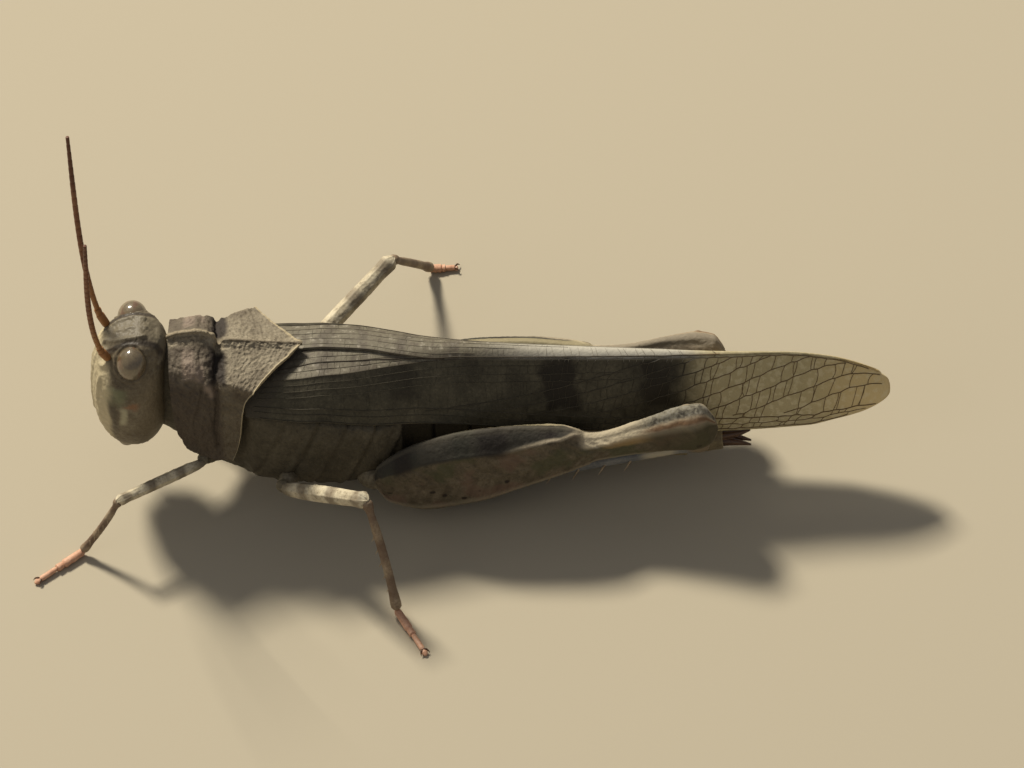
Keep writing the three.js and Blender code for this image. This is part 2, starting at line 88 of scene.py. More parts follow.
def along(*pairs):
    """A smooth curve through [place, value] pairs that never overshoots them."""
    places, values = np.array(pairs, float).T
    steps = np.diff(values) / np.diff(places)
    before = np.r_[steps[0], steps]
    after = np.r_[steps, steps[-1]]
    agree = before * after > 0
    slopes = np.where(agree, 2 * before * after / np.where(agree, before + after, 1), 0)

    def value(place):
        p = np.clip(place, places[0], places[-1])
        i = np.clip(np.searchsorted(places, p, side="right") - 1, 0, len(places) - 2)
        width = places[i + 1] - places[i]
        s = (p - places[i]) / width
        rise = s * s * (3 - 2 * s)
        bend = width * s * (1 - s) * ((1 - s) * slopes[i] - s * slopes[i + 1])
        return (1 - rise) * values[i] + rise * values[i + 1] + bend

    return value


# %% Blends, turns, hills and steps
def lerp(a, b, t):
    return a + (b - a) * t


def unit(vector):
    return vector / np.linalg.norm(vector)


def split(points):
    return np.moveaxis(points, -1, 0)


def rotated(u, v, angle):
    """Turns the pair (u, v) by an angle from u towards v."""
    return u * np.cos(angle) - v * np.sin(angle), u * np.sin(angle) + v * np.cos(angle)


def bump(distance, spread):
    """A hill of height 1 at distance 0 that fades out over `spread`."""
    return np.exp(-((distance / spread) ** 2))


def step_up(value, start, end):
    """0 before start, 1 after end, and smooth between them."""
    s = np.clip((value - start) / (end - start), 0, 1)
    return s * s * (3 - 2 * s)


def squared(value, squareness):
    """Signed power: a squareness of 2 is an ellipse, and more is boxier."""
    return np.sign(value) * np.abs(value) ** (2 / squareness)


# %% Relief: ridges along a line, grain and pits
def near_line(points, line, spread):
    """A ridge of height 1 along a line of points that fades out over `spread`."""
    line = np.asarray(line, float)
    best = np.full(points.shape[:-1], np.inf)
    for start, end in zip(line[:-1], line[1:]):
        way = end - start
        share = np.clip(((points - start) @ way) / (way @ way), 0, 1)
        best = np.minimum(best, np.linalg.norm(points - start - share[..., None] * way, axis=-1))
    return bump(best, spread)


def grain(points, size, seed=0.0, octaves=2):
    """Smooth random hills between about -1 and 1, `size` millimetres apart."""
    flat = points.reshape(-1, 3) / size + seed
    heights = [noise.fractal(Vector(p), 1.0, 2.0, octaves) for p in flat]
    return np.array(heights).reshape(points.shape[:-1])


def pits(points, size, seed=0.0):
    """Rounded cells `size` millimetres across: 0 in the middle of a cell and 1 on its edge."""
    flat = points.reshape(-1, 3) / size + seed
    edges = []
    for p in flat:
        distances = noise.voronoi(Vector(p))[0]
        edges.append(1 - min(1.0, (distances[1] - distances[0]) * 2))
    return np.array(edges).reshape(points.shape[:-1])


# %% A shape is its points, its faces and a flat map of how its pattern lies
def grid_normals(points, closed):
    if closed:
        around = np.roll(points, -1, 1) - np.roll(points, 1, 1)
    else:
        around = np.gradient(points, axis=1)
    normals = np.cross(around, np.gradient(points, axis=0))
    length = np.linalg.norm(normals, axis=-1, keepdims=True)
    return normals / np.where(length > 0, length, 1)


def volume(points, faces):
    total = 0.0
    for face in faces:
        face = np.asarray(face)
        for k in range(1, face.shape[1] - 1):
            a, b, c = points[face[:, 0]], points[face[:, k]], points[face[:, k + 1]]
            total += np.einsum("ij,ij->", a, np.cross(b, c)) / 6
    return total


def outward(points, faces, maps):
    """Turns every face round if the shape is inside out."""
    if volume(points, faces) < 0:
        faces = [face[:, ::-1] for face in faces]
        maps = [m[:, ::-1] for m in maps]
    return points, faces, maps


# %% The two kinds of shape: a closed tube and a closed plate
def loft(rings, sides, place, relief=None):
    """A closed tube: place(t, a) gives x, y and z, and relief(points, t, a) moves them along the normal."""
    t, a = np.meshgrid(np.linspace(0, 1, rings), np.arange(sides) / sides, indexing="ij")
    grid = np.stack(np.broadcast_arrays(*place(t, a)), -1)
    if relief is not None:
        normals = grid_normals(grid, closed=True)
        away = grid - grid.mean(1, keepdims=True)
        normals *= np.sign(np.sum(normals * away)) or 1
        grid = grid + normals * relief(grid, t, a)[..., None]
    index = np.arange(rings * sides).reshape(rings, sides)
    beside = np.roll(index, -1, 1)
    quads = np.stack([index[:-1], beside[:-1], beside[1:], index[1:]], -1).reshape(-1, 4)
    start, end = rings * sides, rings * sides + 1
    first = np.stack([beside[0], index[0], np.full(sides, start)], -1)
    last = np.stack([index[-1], beside[-1], np.full(sides, end)], -1)
    points = np.concatenate([grid.reshape(-1, 3), [grid[0].mean(0)], [grid[-1].mean(0)]])
    t0, a0 = t[:-1], a[:-1]
    t1, a1 = t[1:], a0 + 1 / sides
    corners = [(t0, a0), (t0, a1), (t1, a1), (t1, a0)]
    quad_map = np.stack([np.stack(c, -1) for c in corners], -2).reshape(-1, 4, 2)
    ring = a[0]
    first_map = np.stack([np.stack([0 * ring, r], -1) for r in (ring + 1 / sides, ring, ring)], 1)
    last_map = np.stack([np.stack([0 * ring + 1, r], -1) for r in (ring, ring + 1 / sides, ring)], 1)
    faces, maps = [quads, np.concatenate([first, last])], [quad_map, np.concatenate([first_map, last_map])]
    return outward(points, faces, maps)


def sheet(rows, columns, place, thick, relief=None):
    """A closed plate: place(t, s) gives its outer face, and thick(t, s) its thickness there."""
    t, s = np.meshgrid(np.linspace(0, 1, rows), np.linspace(0, 1, columns), indexing="ij")
    outer = np.stack(np.broadcast_arrays(*place(t, s)), -1)
    normals = grid_normals(outer, closed=False)
    if normals[..., 2].mean() < 0:
        normals = -normals
    inner = outer - normals * np.broadcast_to(thick(t, s), t.shape)[..., None]
    if relief is not None:
        outer = outer + normals * relief(outer, t, s)[..., None]
    size = rows * columns
    index = np.arange(size).reshape(rows, columns)
    cells = [index[:-1, :-1], index[:-1, 1:], index[1:, 1:], index[1:, :-1]]
    top = np.stack(cells, -1).reshape(-1, 4)
    rim = np.concatenate([index[0], index[1:, -1], index[-1, -2::-1], index[-2:0:-1, 0]])
    after = np.roll(rim, -1)
    walls = np.stack([after, rim, rim + size, after + size], -1)
    faces = np.concatenate([top, top[:, ::-1] + size, walls])
    points = np.concatenate([outer.reshape(-1, 3), inner.reshape(-1, 3)])
    flat = np.stack([t, s], -1).reshape(-1, 2)
    return outward(points, [faces], [flat[faces % size]])


# %% Shapes that are joined become one piece, which rides on the body
def joined(*shapes):
    points, faces, maps, count = [], [], [], 0
    for shape_points, shape_faces, shape_maps in shapes:
        points.append(shape_points)
        faces += [face + count for face in shape_faces]
        maps += shape_maps
        count += len(shape_points)
    return np.concatenate(points), faces, maps


def link(name, mesh):
    piece = bpy.data.objects.new(name, mesh)
    bpy.context.scene.collection.objects.link(piece)
    return piece


def build(name, shape, material, slot, *nodes):
    """A mesh object from a shape, at its place in the frame, that stands for its solids."""
    points, faces, maps = shape
    mesh = bpy.data.meshes.new(name)
    polygons = [polygon for face in faces for polygon in face.tolist()]
    mesh.from_pydata(to_frame(points).tolist(), [], polygons)
    lie = mesh.uv_layers.new(name="lie")
    lie.data.foreach_set("uv", np.concatenate([m.reshape(-1, 2) for m in maps]).ravel())
    mesh.shade_smooth()
    mesh.materials.append(material)
    keep(link(name, mesh), slot, *nodes)


made = []


def keep(piece, slot, *nodes):
    """The piece rides on the one body and stands for its solids. Its slot is not used."""
    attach(piece, "root")
    if nodes:
        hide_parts(*nodes)
    made.append(sum(len(p.vertices) - 2 for p in piece.data.polygons))
    print(f"{piece.name}: {made[-1]} triangles")


# %% [markdown]
# ## Colours that are worked out
# A grasshopper's plates are speckled like the soil it sits on: pale and dark grains over patches of brown,
# with dark bands where the rule of the species puts them. Two small shader groups do that work for every
# material: one mottles three colours, and one makes a soft band. They read the same millimetres as the
# shapes do, so a pattern can be placed on the animal with the same ruler.

# %% A few words for building node trees
class Tree:
    """Adds nodes to a tree. An input is given a value, or another node's output to link."""

    def __init__(self, tree):
        self.tree = tree

    def add(self, kind, inputs=None, **settings):
        node = self.tree.nodes.new(kind)
        for name, value in settings.items():
            setattr(node, name, value)
        for name, value in (inputs or {}).items():
            if isinstance(value, bpy.types.NodeSocket):
                self.tree.links.new(value, node.inputs[name])
            else:
                node.inputs[name].default_value = value
        return node

    def maths(self, operation, *values, clamp=False):
        inputs = dict(enumerate(values))
        return self.add("ShaderNodeMath", inputs, operation=operation, use_clamp=clamp).outputs[0]

    def times(self, first, *others):
        for other in others:
            first = self.maths("MULTIPLY", first, other)
        return first

    def mix(self, share, low, high):
        """Blends two colours."""
        return self.add("ShaderNodeMix", {0: share, 6: low, 7: high}, data_type="RGBA").outputs[2]

    def between(self, value, start, end, low=0.0, high=1.0):
        """Reads a value between start and end as a smooth step from low to high."""
        inputs = {0: value, 1: start, 2: end, 3: low, 4: high}
        return self.add("ShaderNodeMapRange", inputs, interpolation_type="SMOOTHSTEP").outputs[0]

    def clouds(self, place, scale, detail=2.0, roughness=0.5):
        inputs = {"Vector": place, "Scale": scale, "Detail": detail, "Roughness": roughness}
        return self.add("ShaderNodeTexNoise", inputs).outputs["Fac"]

    def cells(self, place, scale):
        return self.add("ShaderNodeTexVoronoi", {"Vector": place, "Scale": scale}).outputs["Distance"]


def new_tree(name, kind, inputs, outputs):
    """An empty node group with named sockets: each input is a name, a kind and perhaps a value."""
    tree = bpy.data.node_groups.new(name, kind + "NodeTree")
    for direction, sockets in (("INPUT", inputs), ("OUTPUT", outputs)):
        for socket_name, socket_kind, *value in sockets:
            kind_name = "NodeSocket" + socket_kind
            item = tree.interface.new_socket(name=socket_name, in_out=direction, socket_type=kind_name)
            if value:
                item.default_value = value[0]
    t = Tree(tree)
    return t, t.add("NodeGroupInput").outputs


def colour(red, green, blue):
    return (red, green, blue, 1.0)


# %% The mottle group: patches and specks of three colours
def make_mottle():
    inputs = [
        ("Position", "Vector"), ("Middle", "Color"), ("Pale", "Color"), ("Dark", "Color"),
        ("Patch Size", "Float", 1.0), ("Speck Size", "Float", 0.15), ("Paleness", "Float", 0.5),
        ("Darkness", "Float", 0.5),
    ]
    t, given = new_tree("mottle", "Shader", inputs, [("Colour", "Color"), ("Height", "Float")])
    speck_scale = t.maths("DIVIDE", 1.0, given["Speck Size"])
    patches = t.clouds(given["Position"], t.maths("DIVIDE", 1.0, given["Patch Size"]), 3.0, 0.6)
    specks = t.clouds(given["Position"], speck_scale, 2.0, 0.7)
    pale_specks = t.times(t.between(specks, 0.5, 0.72), 0.6)
    pale = t.maths("MULTIPLY_ADD", t.between(patches, 0.45, 0.7), 0.6, pale_specks, clamp=True)
    dark_specks = t.times(t.between(specks, 0.46, 0.3), 0.7)
    dark = t.maths("MULTIPLY_ADD", t.between(patches, 0.5, 0.3), 0.6, dark_specks, clamp=True)
    shade = t.mix(t.times(pale, given["Paleness"]), given["Middle"], given["Pale"])
    shade = t.mix(t.times(dark, given["Darkness"]), shade, given["Dark"])
    height = t.maths("SUBTRACT", specks, t.times(t.cells(given["Position"], speck_scale), 0.5))
    t.add("NodeGroupOutput", {"Colour": shade, "Height": height})
    return t.tree


# %% The band group: a soft-edged band across one direction, with a ragged edge
def make_band():
    names = ("Place", "Centre", "Half Width", "Softness", "Raggedness")
    inputs = [("Position", "Vector")] + [(name, "Float") for name in names]
    t, given = new_tree("band", "Shader", inputs, [("Mask", "Float")])
    wobble = t.maths("SUBTRACT", t.clouds(given["Position"], 1.6, 3.0), 0.5)
    place = t.maths("MULTIPLY_ADD", t.times(wobble, given["Raggedness"]), 3.0, given["Place"])
    distance = t.maths("ABSOLUTE", t.maths("SUBTRACT", place, given["Centre"]))
    inner = t.maths("SUBTRACT", given["Half Width"], given["Softness"])
    outer = t.maths("ADD", given["Half Width"], given["Softness"])
    t.add("NodeGroupOutput", {"Mask": t.between(distance, inner, outer, 1.0, 0.0)})
    return t.tree


MOTTLE = make_mottle()
BAND = make_band()
print("shader groups:", MOTTLE.name, BAND.name)


# %% A finish starts with the ruler, the mottle and a soft shader, and layers of paint go over it
class Finish(Tree):
    def __init__(self, name, roughness, specular, middle, pale, dark, *sizes):
        """Three colours, then the mottle's patch size, speck size, paleness and darkness."""
        self.material = bpy.data.materials.new(name)
        self.material.use_nodes = True
        super().__init__(self.material.node_tree)
        self.shader = self.tree.nodes["Principled BSDF"].inputs
        self.shader["Roughness"].default_value = roughness
        self.shader["Specular IOR Level"].default_value = specular
        texture = self.add("ShaderNodeTexCoord").outputs
        ruler = {"Vector": texture["Object"], "Scale": (1 / MM, 1 / MM, 1 / MM), "Location": -ZERO / MM}
        self.position = self.add("ShaderNodeMapping", ruler).outputs["Vector"]
        x, y, z = self.add("ShaderNodeSeparateXYZ", {"Vector": self.position}).outputs
        share, turn, _ = self.add("ShaderNodeSeparateXYZ", {"Vector": texture["UV"]}).outputs
        self.measures = {"x": x, "y": y, "z": z, "share": share, "turn": turn}
        values = [self.position, colour(*middle), colour(*pale), colour(*dark), *sizes]
        self.colour, self.height = self.group(MOTTLE, values)

    def group(self, tree, values):
        """Places a shader group and fills its inputs in their order."""
        return self.add("ShaderNodeGroup", dict(enumerate(values)), node_tree=tree).outputs

    def mask(self, measure, *numbers):
        """A soft step has a start and an end. A band has a centre, half width, softness and raggedness."""
        value = self.measures[measure]
        if len(numbers) == 2:
            return self.between(value, *numbers)
        return self.group(BAND, [self.position, value, *numbers])[0]

    def paint(self, tint, strength, *masks):
        """Lays a colour over what is there, where all the masks agree."""
        sockets = [self.mask(*mask) if isinstance(mask, tuple) else mask for mask in masks]
        share = self.maths("MULTIPLY", self.times(*sockets), strength, clamp=True)
        self.colour = self.mix(share, self.colour, colour(*tint))

    def done(self, bumpiness=0.0):
        self.tree.links.new(self.colour, self.shader["Base Color"])
        if bumpiness:
            relief = {"Height": self.height, "Strength": 1.0, "Distance": bumpiness * MM}
            normal = self.add("ShaderNodeBump", relief).outputs["Normal"]
            self.tree.links.new(normal, self.shader["Normal"])
        return self.material


# %% [markdown]
# ## The head
# A grasshopper's head is one hard capsule, set upright with the mouth at the bottom. What makes it look
# like a head and not an egg is its relief: a flat ridge down the face between the antennae, a thin keel
# down each cheek, a seam from the eye to the jaw, and a raised rim round each eye. A loft gives the
# capsule, and each of these features is a hill or a furrow along a line on it.

# %% Sizes of the head
HEAD_TOP = 8.15
HEAD_CHIN = 2.85
EYE_LONG, EYE_DEEP, EYE_TALL = 1.1, 1.2, 1.3
EYE_LEAN, EYE_RAKE = np.radians(14), np.radians(10)
EYE_SHIFT = [0.06, 0.0, 0.07]  # the dome is lower than its solid, and sits at the solid's upper end
eye_centre = from_frame((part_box("eye_right")[0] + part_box("eye_right")[1]) / 2) + EYE_SHIFT

face_line = along(
    [2.85, 0.86], [3.3, 0.42], [4.2, 0.1], [5.1, 0.06], [6.2, 0.14], [7.0, 0.35], [7.5, 0.62],
    [7.9, 1.08], [8.15, 1.7],
)
nape_line = along([2.85, 2.0], [3.3, 2.56], [4.4, 2.86], [6.0, 2.9], [7.2, 2.88], [7.8, 2.7], [8.15, 2.1])
head_half = along(
    [2.85, 1.02], [3.3, 1.5], [4.2, 1.78], [5.2, 1.87], [6.2, 1.76], [6.9, 1.5], [7.5, 1.2],
    [7.9, 0.95], [8.15, 0.4],
)
print("eye centre:", np.round(eye_centre, 2))


# %% The keels and seams of one half of the head: how high or deep, how wide, and the line that each follows
cheek_seam = np.array([[1.35, 1.5, 6.5], [1.2, 1.66, 5.4], [1.2, 1.6, 4.4], [1.3, 1.4, 3.6]])
HEAD_LINES = [
    (0.075, 0.1, [[0.45, 0.98, 6.6], [0.3, 1.05, 5.6], [0.42, 1.2, 4.6], [0.75, 1.3, 3.7]]),  # cheek keel
    (-0.045, 0.2, [[0.85, 1.35, 6.1], [0.72, 1.4, 5.3], [0.85, 1.45, 4.5]]),  # sunken cheek
    (-0.05, 0.06, cheek_seam),
    (0.025, 0.08, cheek_seam - [0.13, 0, 0]),
    (-0.06, 0.06, [[0.15, 0, 4.0], [0.3, 0.6, 4.0], [0.6, 1.05, 3.85], [0.95, 1.3, 3.6]]),  # above the lip
    (-0.04, 0.09, [[2.45, 0, 8.0], [2.62, 0.9, 7.4], [2.6, 1.6, 6.2], [2.5, 1.75, 5.0], [2.4, 1.5, 3.9]]),
    (0.08, 0.09, [[0.72, 0.2, 7.55], [1.05, 0.42, 7.85], [1.6, 0.5, 8.05], [2.1, 0.42, 8.1]]),  # brow
    (0.035, 0.07, [[0.8, 0, 7.8], [1.5, 0, 8.1], [2.2, 0, 8.1]]),  # keel of the crown
]


# %% The head's outline and its relief
def head_place(t, a):
    z = lerp(HEAD_TOP, HEAD_CHIN, 0.5 - 0.5 * np.cos(np.pi * lerp(0.02, 0.98, t)))
    half = (nape_line(z) - face_line(z)) / 2
    middle = (nape_line(z) + face_line(z)) / 2
    y = head_half(z) * squared(np.sin(TAU * a), 2.3)
    return middle - half * squared(np.cos(TAU * a), 2.2), y, z


def eye_shell(points, side):
    """How far from the eye's surface a point lies: 1 is on it, and more is outside."""
    x, y, z = split(points - eye_centre * [1, side, 1])
    x, z = rotated(x, z, EYE_RAKE)
    y, z = rotated(y, z, -side * EYE_LEAN)
    return np.sqrt((2 * x / EYE_LONG) ** 2 + (2 * y / EYE_DEEP) ** 2 + (2 * z / EYE_TALL) ** 2)


def head_relief(points, t, a):
    x, y, z = split(points)
    wide = np.abs(y)
    front = step_up(1.6 - x, 0, 0.6)
    face_ridge = along([3.6, 0.42], [5.0, 0.36], [6.6, 0.3], [7.3, 0.24], [8.0, 0.2])(z)
    ridge = (step_up(face_ridge - wide, -0.08, 0.08) - 0.8 * bump(wide, 0.16)) * step_up(z, 3.5, 4.2)
    height = 0.07 * ridge * front * step_up(8.05 - z, 0, 0.5)
    flat = np.stack([x, wide, z], -1)
    for high, spread, line in HEAD_LINES:
        height += high * near_line(flat, line, spread)
    socket_ring = np.linalg.norm(flat - [0.6, 0.62, 7.18], axis=-1)
    height += 0.07 * bump(socket_ring - 0.3, 0.07) - 0.1 * bump(socket_ring, 0.2)
    rim = np.minimum(eye_shell(points, 1), eye_shell(points, -1))
    height += 0.04 * bump(rim - 1.12, 0.08)
    wrinkled = 0.4 + 0.6 * step_up(3.2 - x - 0.35 * (8 - z), 0, 1.4)
    height += wrinkled * (0.022 * grain(points, 0.26) + 0.016 * grain(points, 0.1, 5.0))
    return height


# %% The head's colours: olive brown cheeks, a pale ridge down the face and a pale line under the eye
skin = Finish(
    "head_horn", 0.55, 0.4, (0.115, 0.09, 0.055), (0.25, 0.215, 0.145), (0.04, 0.028, 0.018),
    0.7, 0.14, 0.6, 0.6,
)
skin.measures["wide"] = skin.maths("ABSOLUTE", skin.measures["y"])
on_cheek = skin.mask("wide", 0.9, 1.1)
skin.paint((0.54, 0.46, 0.29), 0.75, ("x", 0.2, 0.57, 0.14, 0.12), ("z", 7.6, 7.2))  # the face
behind_keel = ("x", 0.84, 0.14, 0.1, 0.1)
skin.paint((0.05, 0.038, 0.024), 0.7, behind_keel, on_cheek, ("z", 5.1, 0.8, 0.3, 0.3))
under_eye = ("x", 1.22, 0.11, 0.09, 0.1)
skin.paint((0.4, 0.37, 0.24), 0.8, under_eye, on_cheek, ("z", 5.25, 0.42, 0.2, 0.2))
skin.paint((0.17, 0.19, 0.1), 0.55, ("x", 1.0, 0.3, 0.2, 0.15), ("z", 6.15, 0.28, 0.2, 0.3), on_cheek)
skin.paint((0.24, 0.1, 0.04), 0.6, ("x", 1.55, 0.24, 0.15, 0.1), ("z", 5.75, 0.14, 0.1, 0.3), on_cheek)
skin.paint((0.15, 0.128, 0.085), 0.6, ("wide", 0.62, 0.45), ("z", 7.3, 7.6))  # the crown
# A dark line beside the crown: painted shade in the crease along the brow.
skin.paint((0.03, 0.022, 0.015), 0.85, ("wide", 0.68, 0.11, 0.06, 0.04), ("z", 7.2, 7.5))  # beside it
# The hind cheek is painted lighter: painted light where the head curves away from the lamp.
skin.paint((0.2, 0.158, 0.095), 0.6, ("x", 1.5, 2.3), ("z", 7.0, 6.6))  # the hind cheek
skin.paint((0.3, 0.25, 0.16), 0.5, ("z", 3.6, 3.0))
HEAD_HORN = skin.done(0.02)

build("head_capsule", loft(150, 180, head_place, head_relief), HEAD_HORN, "face", "head")

# %% [markdown]
# ## The eyes
# Each compound eye is a smooth dome of thousands of facets, each only a few hundredths of a millimetre
# across. From a hand's width away they read as a soft sheen, so the dome is a plain ellipsoid with a fine
# cell pattern in its bump. Its lower half is darkened with painted shade, and it has a bright, clear gloss.

# %% Eyes
eye_horn = Finish(
    "eye_dome", 0.45, 0.25, (0.14, 0.105, 0.058), (0.25, 0.2, 0.115), (0.07, 0.048, 0.028),
    0.5, 0.08, 0.35, 0.6,
)
for name, value in {"Coat Weight": 1.0, "Coat Roughness": 0.13, "Coat IOR": 1.7}.items():
    eye_horn.shader[name].default_value = value
drawn_out = {"Vector": eye_horn.position, "Scale": (5.0, 2.0, 0.7)}
stripes = eye_horn.clouds(eye_horn.add("ShaderNodeMapping", drawn_out).outputs[0], 1.0)
eye_horn.paint((0.14, 0.06, 0.035), 0.5, eye_horn.between(stripes, 0.5, 0.62))
# Painted shade: the lower half of the eye is darker, as the light falls from above.
eye_horn.paint((0.09, 0.072, 0.042), 0.6, ("z", 7.5, 6.8))
eye_horn.height = eye_horn.cells(eye_horn.position, 24.0)
EYE_DOME = eye_horn.done(0.006)


def eye_place(side):
    def place(t, a):
        polar = np.pi * lerp(0.01, 0.99, t)
        x = EYE_LONG / 2 * np.sin(polar) * np.cos(TAU * a)
        y = EYE_DEEP / 2 * np.sin(polar) * np.sin(TAU * a)
        z = EYE_TALL / 2 * np.cos(polar)
        y, z = rotated(y, z, side * EYE_LEAN)
        x, z = rotated(x, z, -EYE_RAKE)
        cx, cy, cz = eye_centre * [1, side, 1]
        return cx + x, cy + y, cz + z

    return place


SIDES = {"left": -1, "right": 1}
for name, side in SIDES.items():
    build(f"eye_dome_{name}", loft(48, 64, eye_place(side)), EYE_DOME, "eye", f"eye_{name}")

# %% [markdown]
# ## The saddle over the neck
# The pronotum is a single plate that hangs over the front of the body like a saddle. A keel runs down its
# middle, one deep groove crosses it, and behind the groove it is a flat, rough disc that runs back to a
# point over the wings. It is open below, so it is made as a sheet with a real thickness. Its section is a
# smooth curve through a few points from one hem over the keel to the other.

# %% Sizes of the saddle
SULCUS = 4.8
SADDLE_TIP = 7.8
crest_line = along(
    [2.9, 7.5], [3.3, 7.7], [4.0, 7.8], [4.5, 7.6], [SULCUS, 7.18], [5.05, 7.28], [6.3, 7.14],
    [SADDLE_TIP, 7.0],
)
shoulder_width = along([2.9, 1.25], [4.0, 1.4], [SULCUS, 1.55], [5.4, 1.72], [6.1, 1.95], [SADDLE_TIP, 1.95])
shoulder_height = along([2.9, 6.95], [4.0, 7.0], [SULCUS, 6.65], [5.4, 6.72], [6.1, 6.64], [SADDLE_TIP, 6.62])
lobe_width = along([2.9, 1.8], [4.0, 1.95], [SULCUS, 1.98], [5.6, 2.16])
lobe_hem = along([3.1, 3.75], [3.7, 3.3], [4.6, 2.86], [5.1, 2.9], [5.5, 3.3])
front_edge = along([0, 2.9], [4, 2.98], [6, 3.12], [7, 3.45])
hind_edge = along([0, SADDLE_TIP], [1, 7.5], [2, 6.75], [3, 6.08], [4, 5.68], [6, 5.4], [7, 5.1])
HEM_STEP = 7  # the section's steps run from the keel at 0 over the shoulder at 3 to the hem at 7


# %% The saddle's section, and the plate it gives
def saddle_section(step, x):
    wide, lobe = shoulder_width(x), lobe_width(x)
    shoulder, hem, crest = shoulder_height(x), lobe_hem(x), crest_line(x)
    ys = [0 * x, 0.14 * wide, 0.56 * wide, wide, lerp(wide, lobe, 0.65), lobe, lobe * 1.02, lobe * 0.98]
    zs = [
        crest, lerp(crest, shoulder, 0.32), lerp(crest, shoulder, 0.62), shoulder,
        lerp(shoulder, hem, 0.2), lerp(shoulder, hem, 0.45), lerp(shoulder, hem, 0.75), hem,
    ]
    ys, zs = np.stack(ys), np.stack(zs)
    low = np.clip(np.floor(step).astype(int), 0, HEM_STEP - 1)
    share = step - low

    def pick(values, k):
        return np.take_along_axis(values, np.clip(k, 0, HEM_STEP)[None], 0)[0]

    smooth = []
    for values in (ys, zs):
        a, b, c, d = (pick(values, low + k) for k in (-1, 0, 1, 2))
        bend = 2 * b + (c - a) * share + (2 * a - 5 * b + 4 * c - d) * share**2
        smooth.append(0.5 * (bend + (3 * b - a - 3 * c + d) * share**3))
    straight = [lerp(pick(v, low), pick(v, low + 1), share) for v in (ys, zs)]
    return [lerp(s, f, 0.5) for s, f in zip(smooth, straight)]


def saddle_place(t, s):
    step = np.abs(2 * s - 1) * HEM_STEP
    x = np.where(
        t < 0.5, lerp(front_edge(step), SULCUS, 2 * t), lerp(SULCUS, hind_edge(step), 2 * t - 1)
    )
    y, z = saddle_section(step, x)
    return x, np.sign(s - 0.5) * y, z


def saddle_relief(points, t, s):
    x, _, z = split(points)
    step = np.abs(2 * s - 1) * HEM_STEP
    disc = step_up(x, SULCUS + 0.1, SULCUS + 0.5) * step_up(3.4 - step, 0, 0.5)
    keel = 0.075 * (1 - disc) + 0.035 * disc
    on_keel = bump(step, 0.13)
    height = keel * on_keel * (1 - 0.8 * bump(x - SULCUS, 0.16))
    height += 0.05 * bump(step - 3.05, 0.16) * step_up(x, 5.0, 5.5)
    groove = x - SULCUS + 0.04 * step + 0.04 * np.sin(3 * z)
    height -= 0.13 * bump(groove, 0.09) * step_up(6.6 - step, 0, 0.6)
    fore_groove = x - 4.05 - 0.12 * np.sin(2.1 * z)
    height -= 0.06 * bump(fore_groove, 0.08) * step_up(step, 1.2, 1.8) * step_up(5.6 - step, 0, 1)
    for knob in ([3.65, 1.02, 7.1], [4.0, 1.1, 6.95], [4.3, 1.5, 6.55]):
        from_knob = np.linalg.norm(np.abs(points) - knob, axis=-1)
        height += 0.085 * bump(from_knob, 0.24)
    height += 0.05 * bump(1 - t, 0.022) * step_up(x, 5.0, 5.4) + 0.05 * bump(np.abs(2 * s - 1) - 1, 0.03)
    height += 0.03 * bump(t, 0.05)
    rough = pits(points, 0.19, 2.0)
    height += disc * (1 - on_keel) * (0.036 * rough + 0.036 * grain(points, 0.12, 1.0))
    height += (1 - disc) * (0.02 * rough + 0.045 * grain(points, 0.22, 3.0))
    return height


# %% The saddle's colours: a beige grey disc, darker sides, a dark patch ahead of the groove and a pale rim
saddle_horn = Finish(
    "saddle_horn", 0.72, 0.3, (0.215, 0.18, 0.125), (0.38, 0.33, 0.235), (0.05, 0.036, 0.026),
    0.7, 0.11, 0.65, 0.6,
)
saddle_horn.measures["wide"] = saddle_horn.maths("ABSOLUTE", saddle_horn.measures["y"])
saddle_horn.paint((0.074, 0.057, 0.035), 0.7, ("z", 6.7, 6.3))  # the side lobes
below_crest = saddle_horn.mask("wide", 0.25, 0.5)
saddle_horn.paint((0.06, 0.044, 0.032), 0.7, ("x", 4.95, 4.65), below_crest)
# The knobs are painted pale: painted highlights where they catch the light.
for place, level, half in ((3.65, 7.1, 0.2), (4.05, 6.95, 0.16), (4.35, 6.5, 0.13), (4.5, 6.25, 0.1)):
    knob = ("x", place, half, 0.1, 0.08), ("z", level, half * 1.3, 0.12, 0.08)
    saddle_horn.paint((0.26, 0.2, 0.155), 0.75, *knob)
before_groove = ("x", 4.72, 0.3, 0.12, 0.08)
saddle_horn.paint((0.02, 0.014, 0.011), 0.92, before_groove, below_crest, ("z", 6.45, 6.75))
saddle_horn.paint((0.06, 0.042, 0.026), 0.45, ("z", 6.45, 0.35, 0.15, 0.1), ("x", 5.0, 5.4))
saddle_horn.paint((0.46, 0.38, 0.235), 0.75, ("share", 0.976, 0.988))  # the hind rim
keel = saddle_horn.mask("wide", 0.09, 0.03)
# The front of the keel is painted pale: a painted highlight where the raised crest catches the light.
saddle_horn.paint((0.34, 0.275, 0.175), 0.5, keel, ("x", 4.9, 4.7))
saddle_horn.paint((0.085, 0.064, 0.04), 0.7, keel, ("x", 5.0, 5.2))
SADDLE_HORN = saddle_horn.done(0.03)


def saddle_thickness(t, s):
    return 0.1 + 0.08 * np.minimum(1, 12 * (1 - t))


saddle = sheet(200, 240, saddle_place, saddle_thickness, saddle_relief)
build("saddle_plate", saddle, SADDLE_HORN, "shell", "pronotum")

# %% [markdown]
# ## The fore wings
# The two fore wings are leathery covers that lie over the back like a roof: a narrow flat field on top, a
# fold, and a steep side that narrows to a round tip. Each is a sheet about a tenth of a millimetre thick.
# The front part is thick and speckled, with dark bands, and the last third is clear between its veins.
# The right wing lies over the left one: its back field crosses the ridge and ends at the left wing's fold.

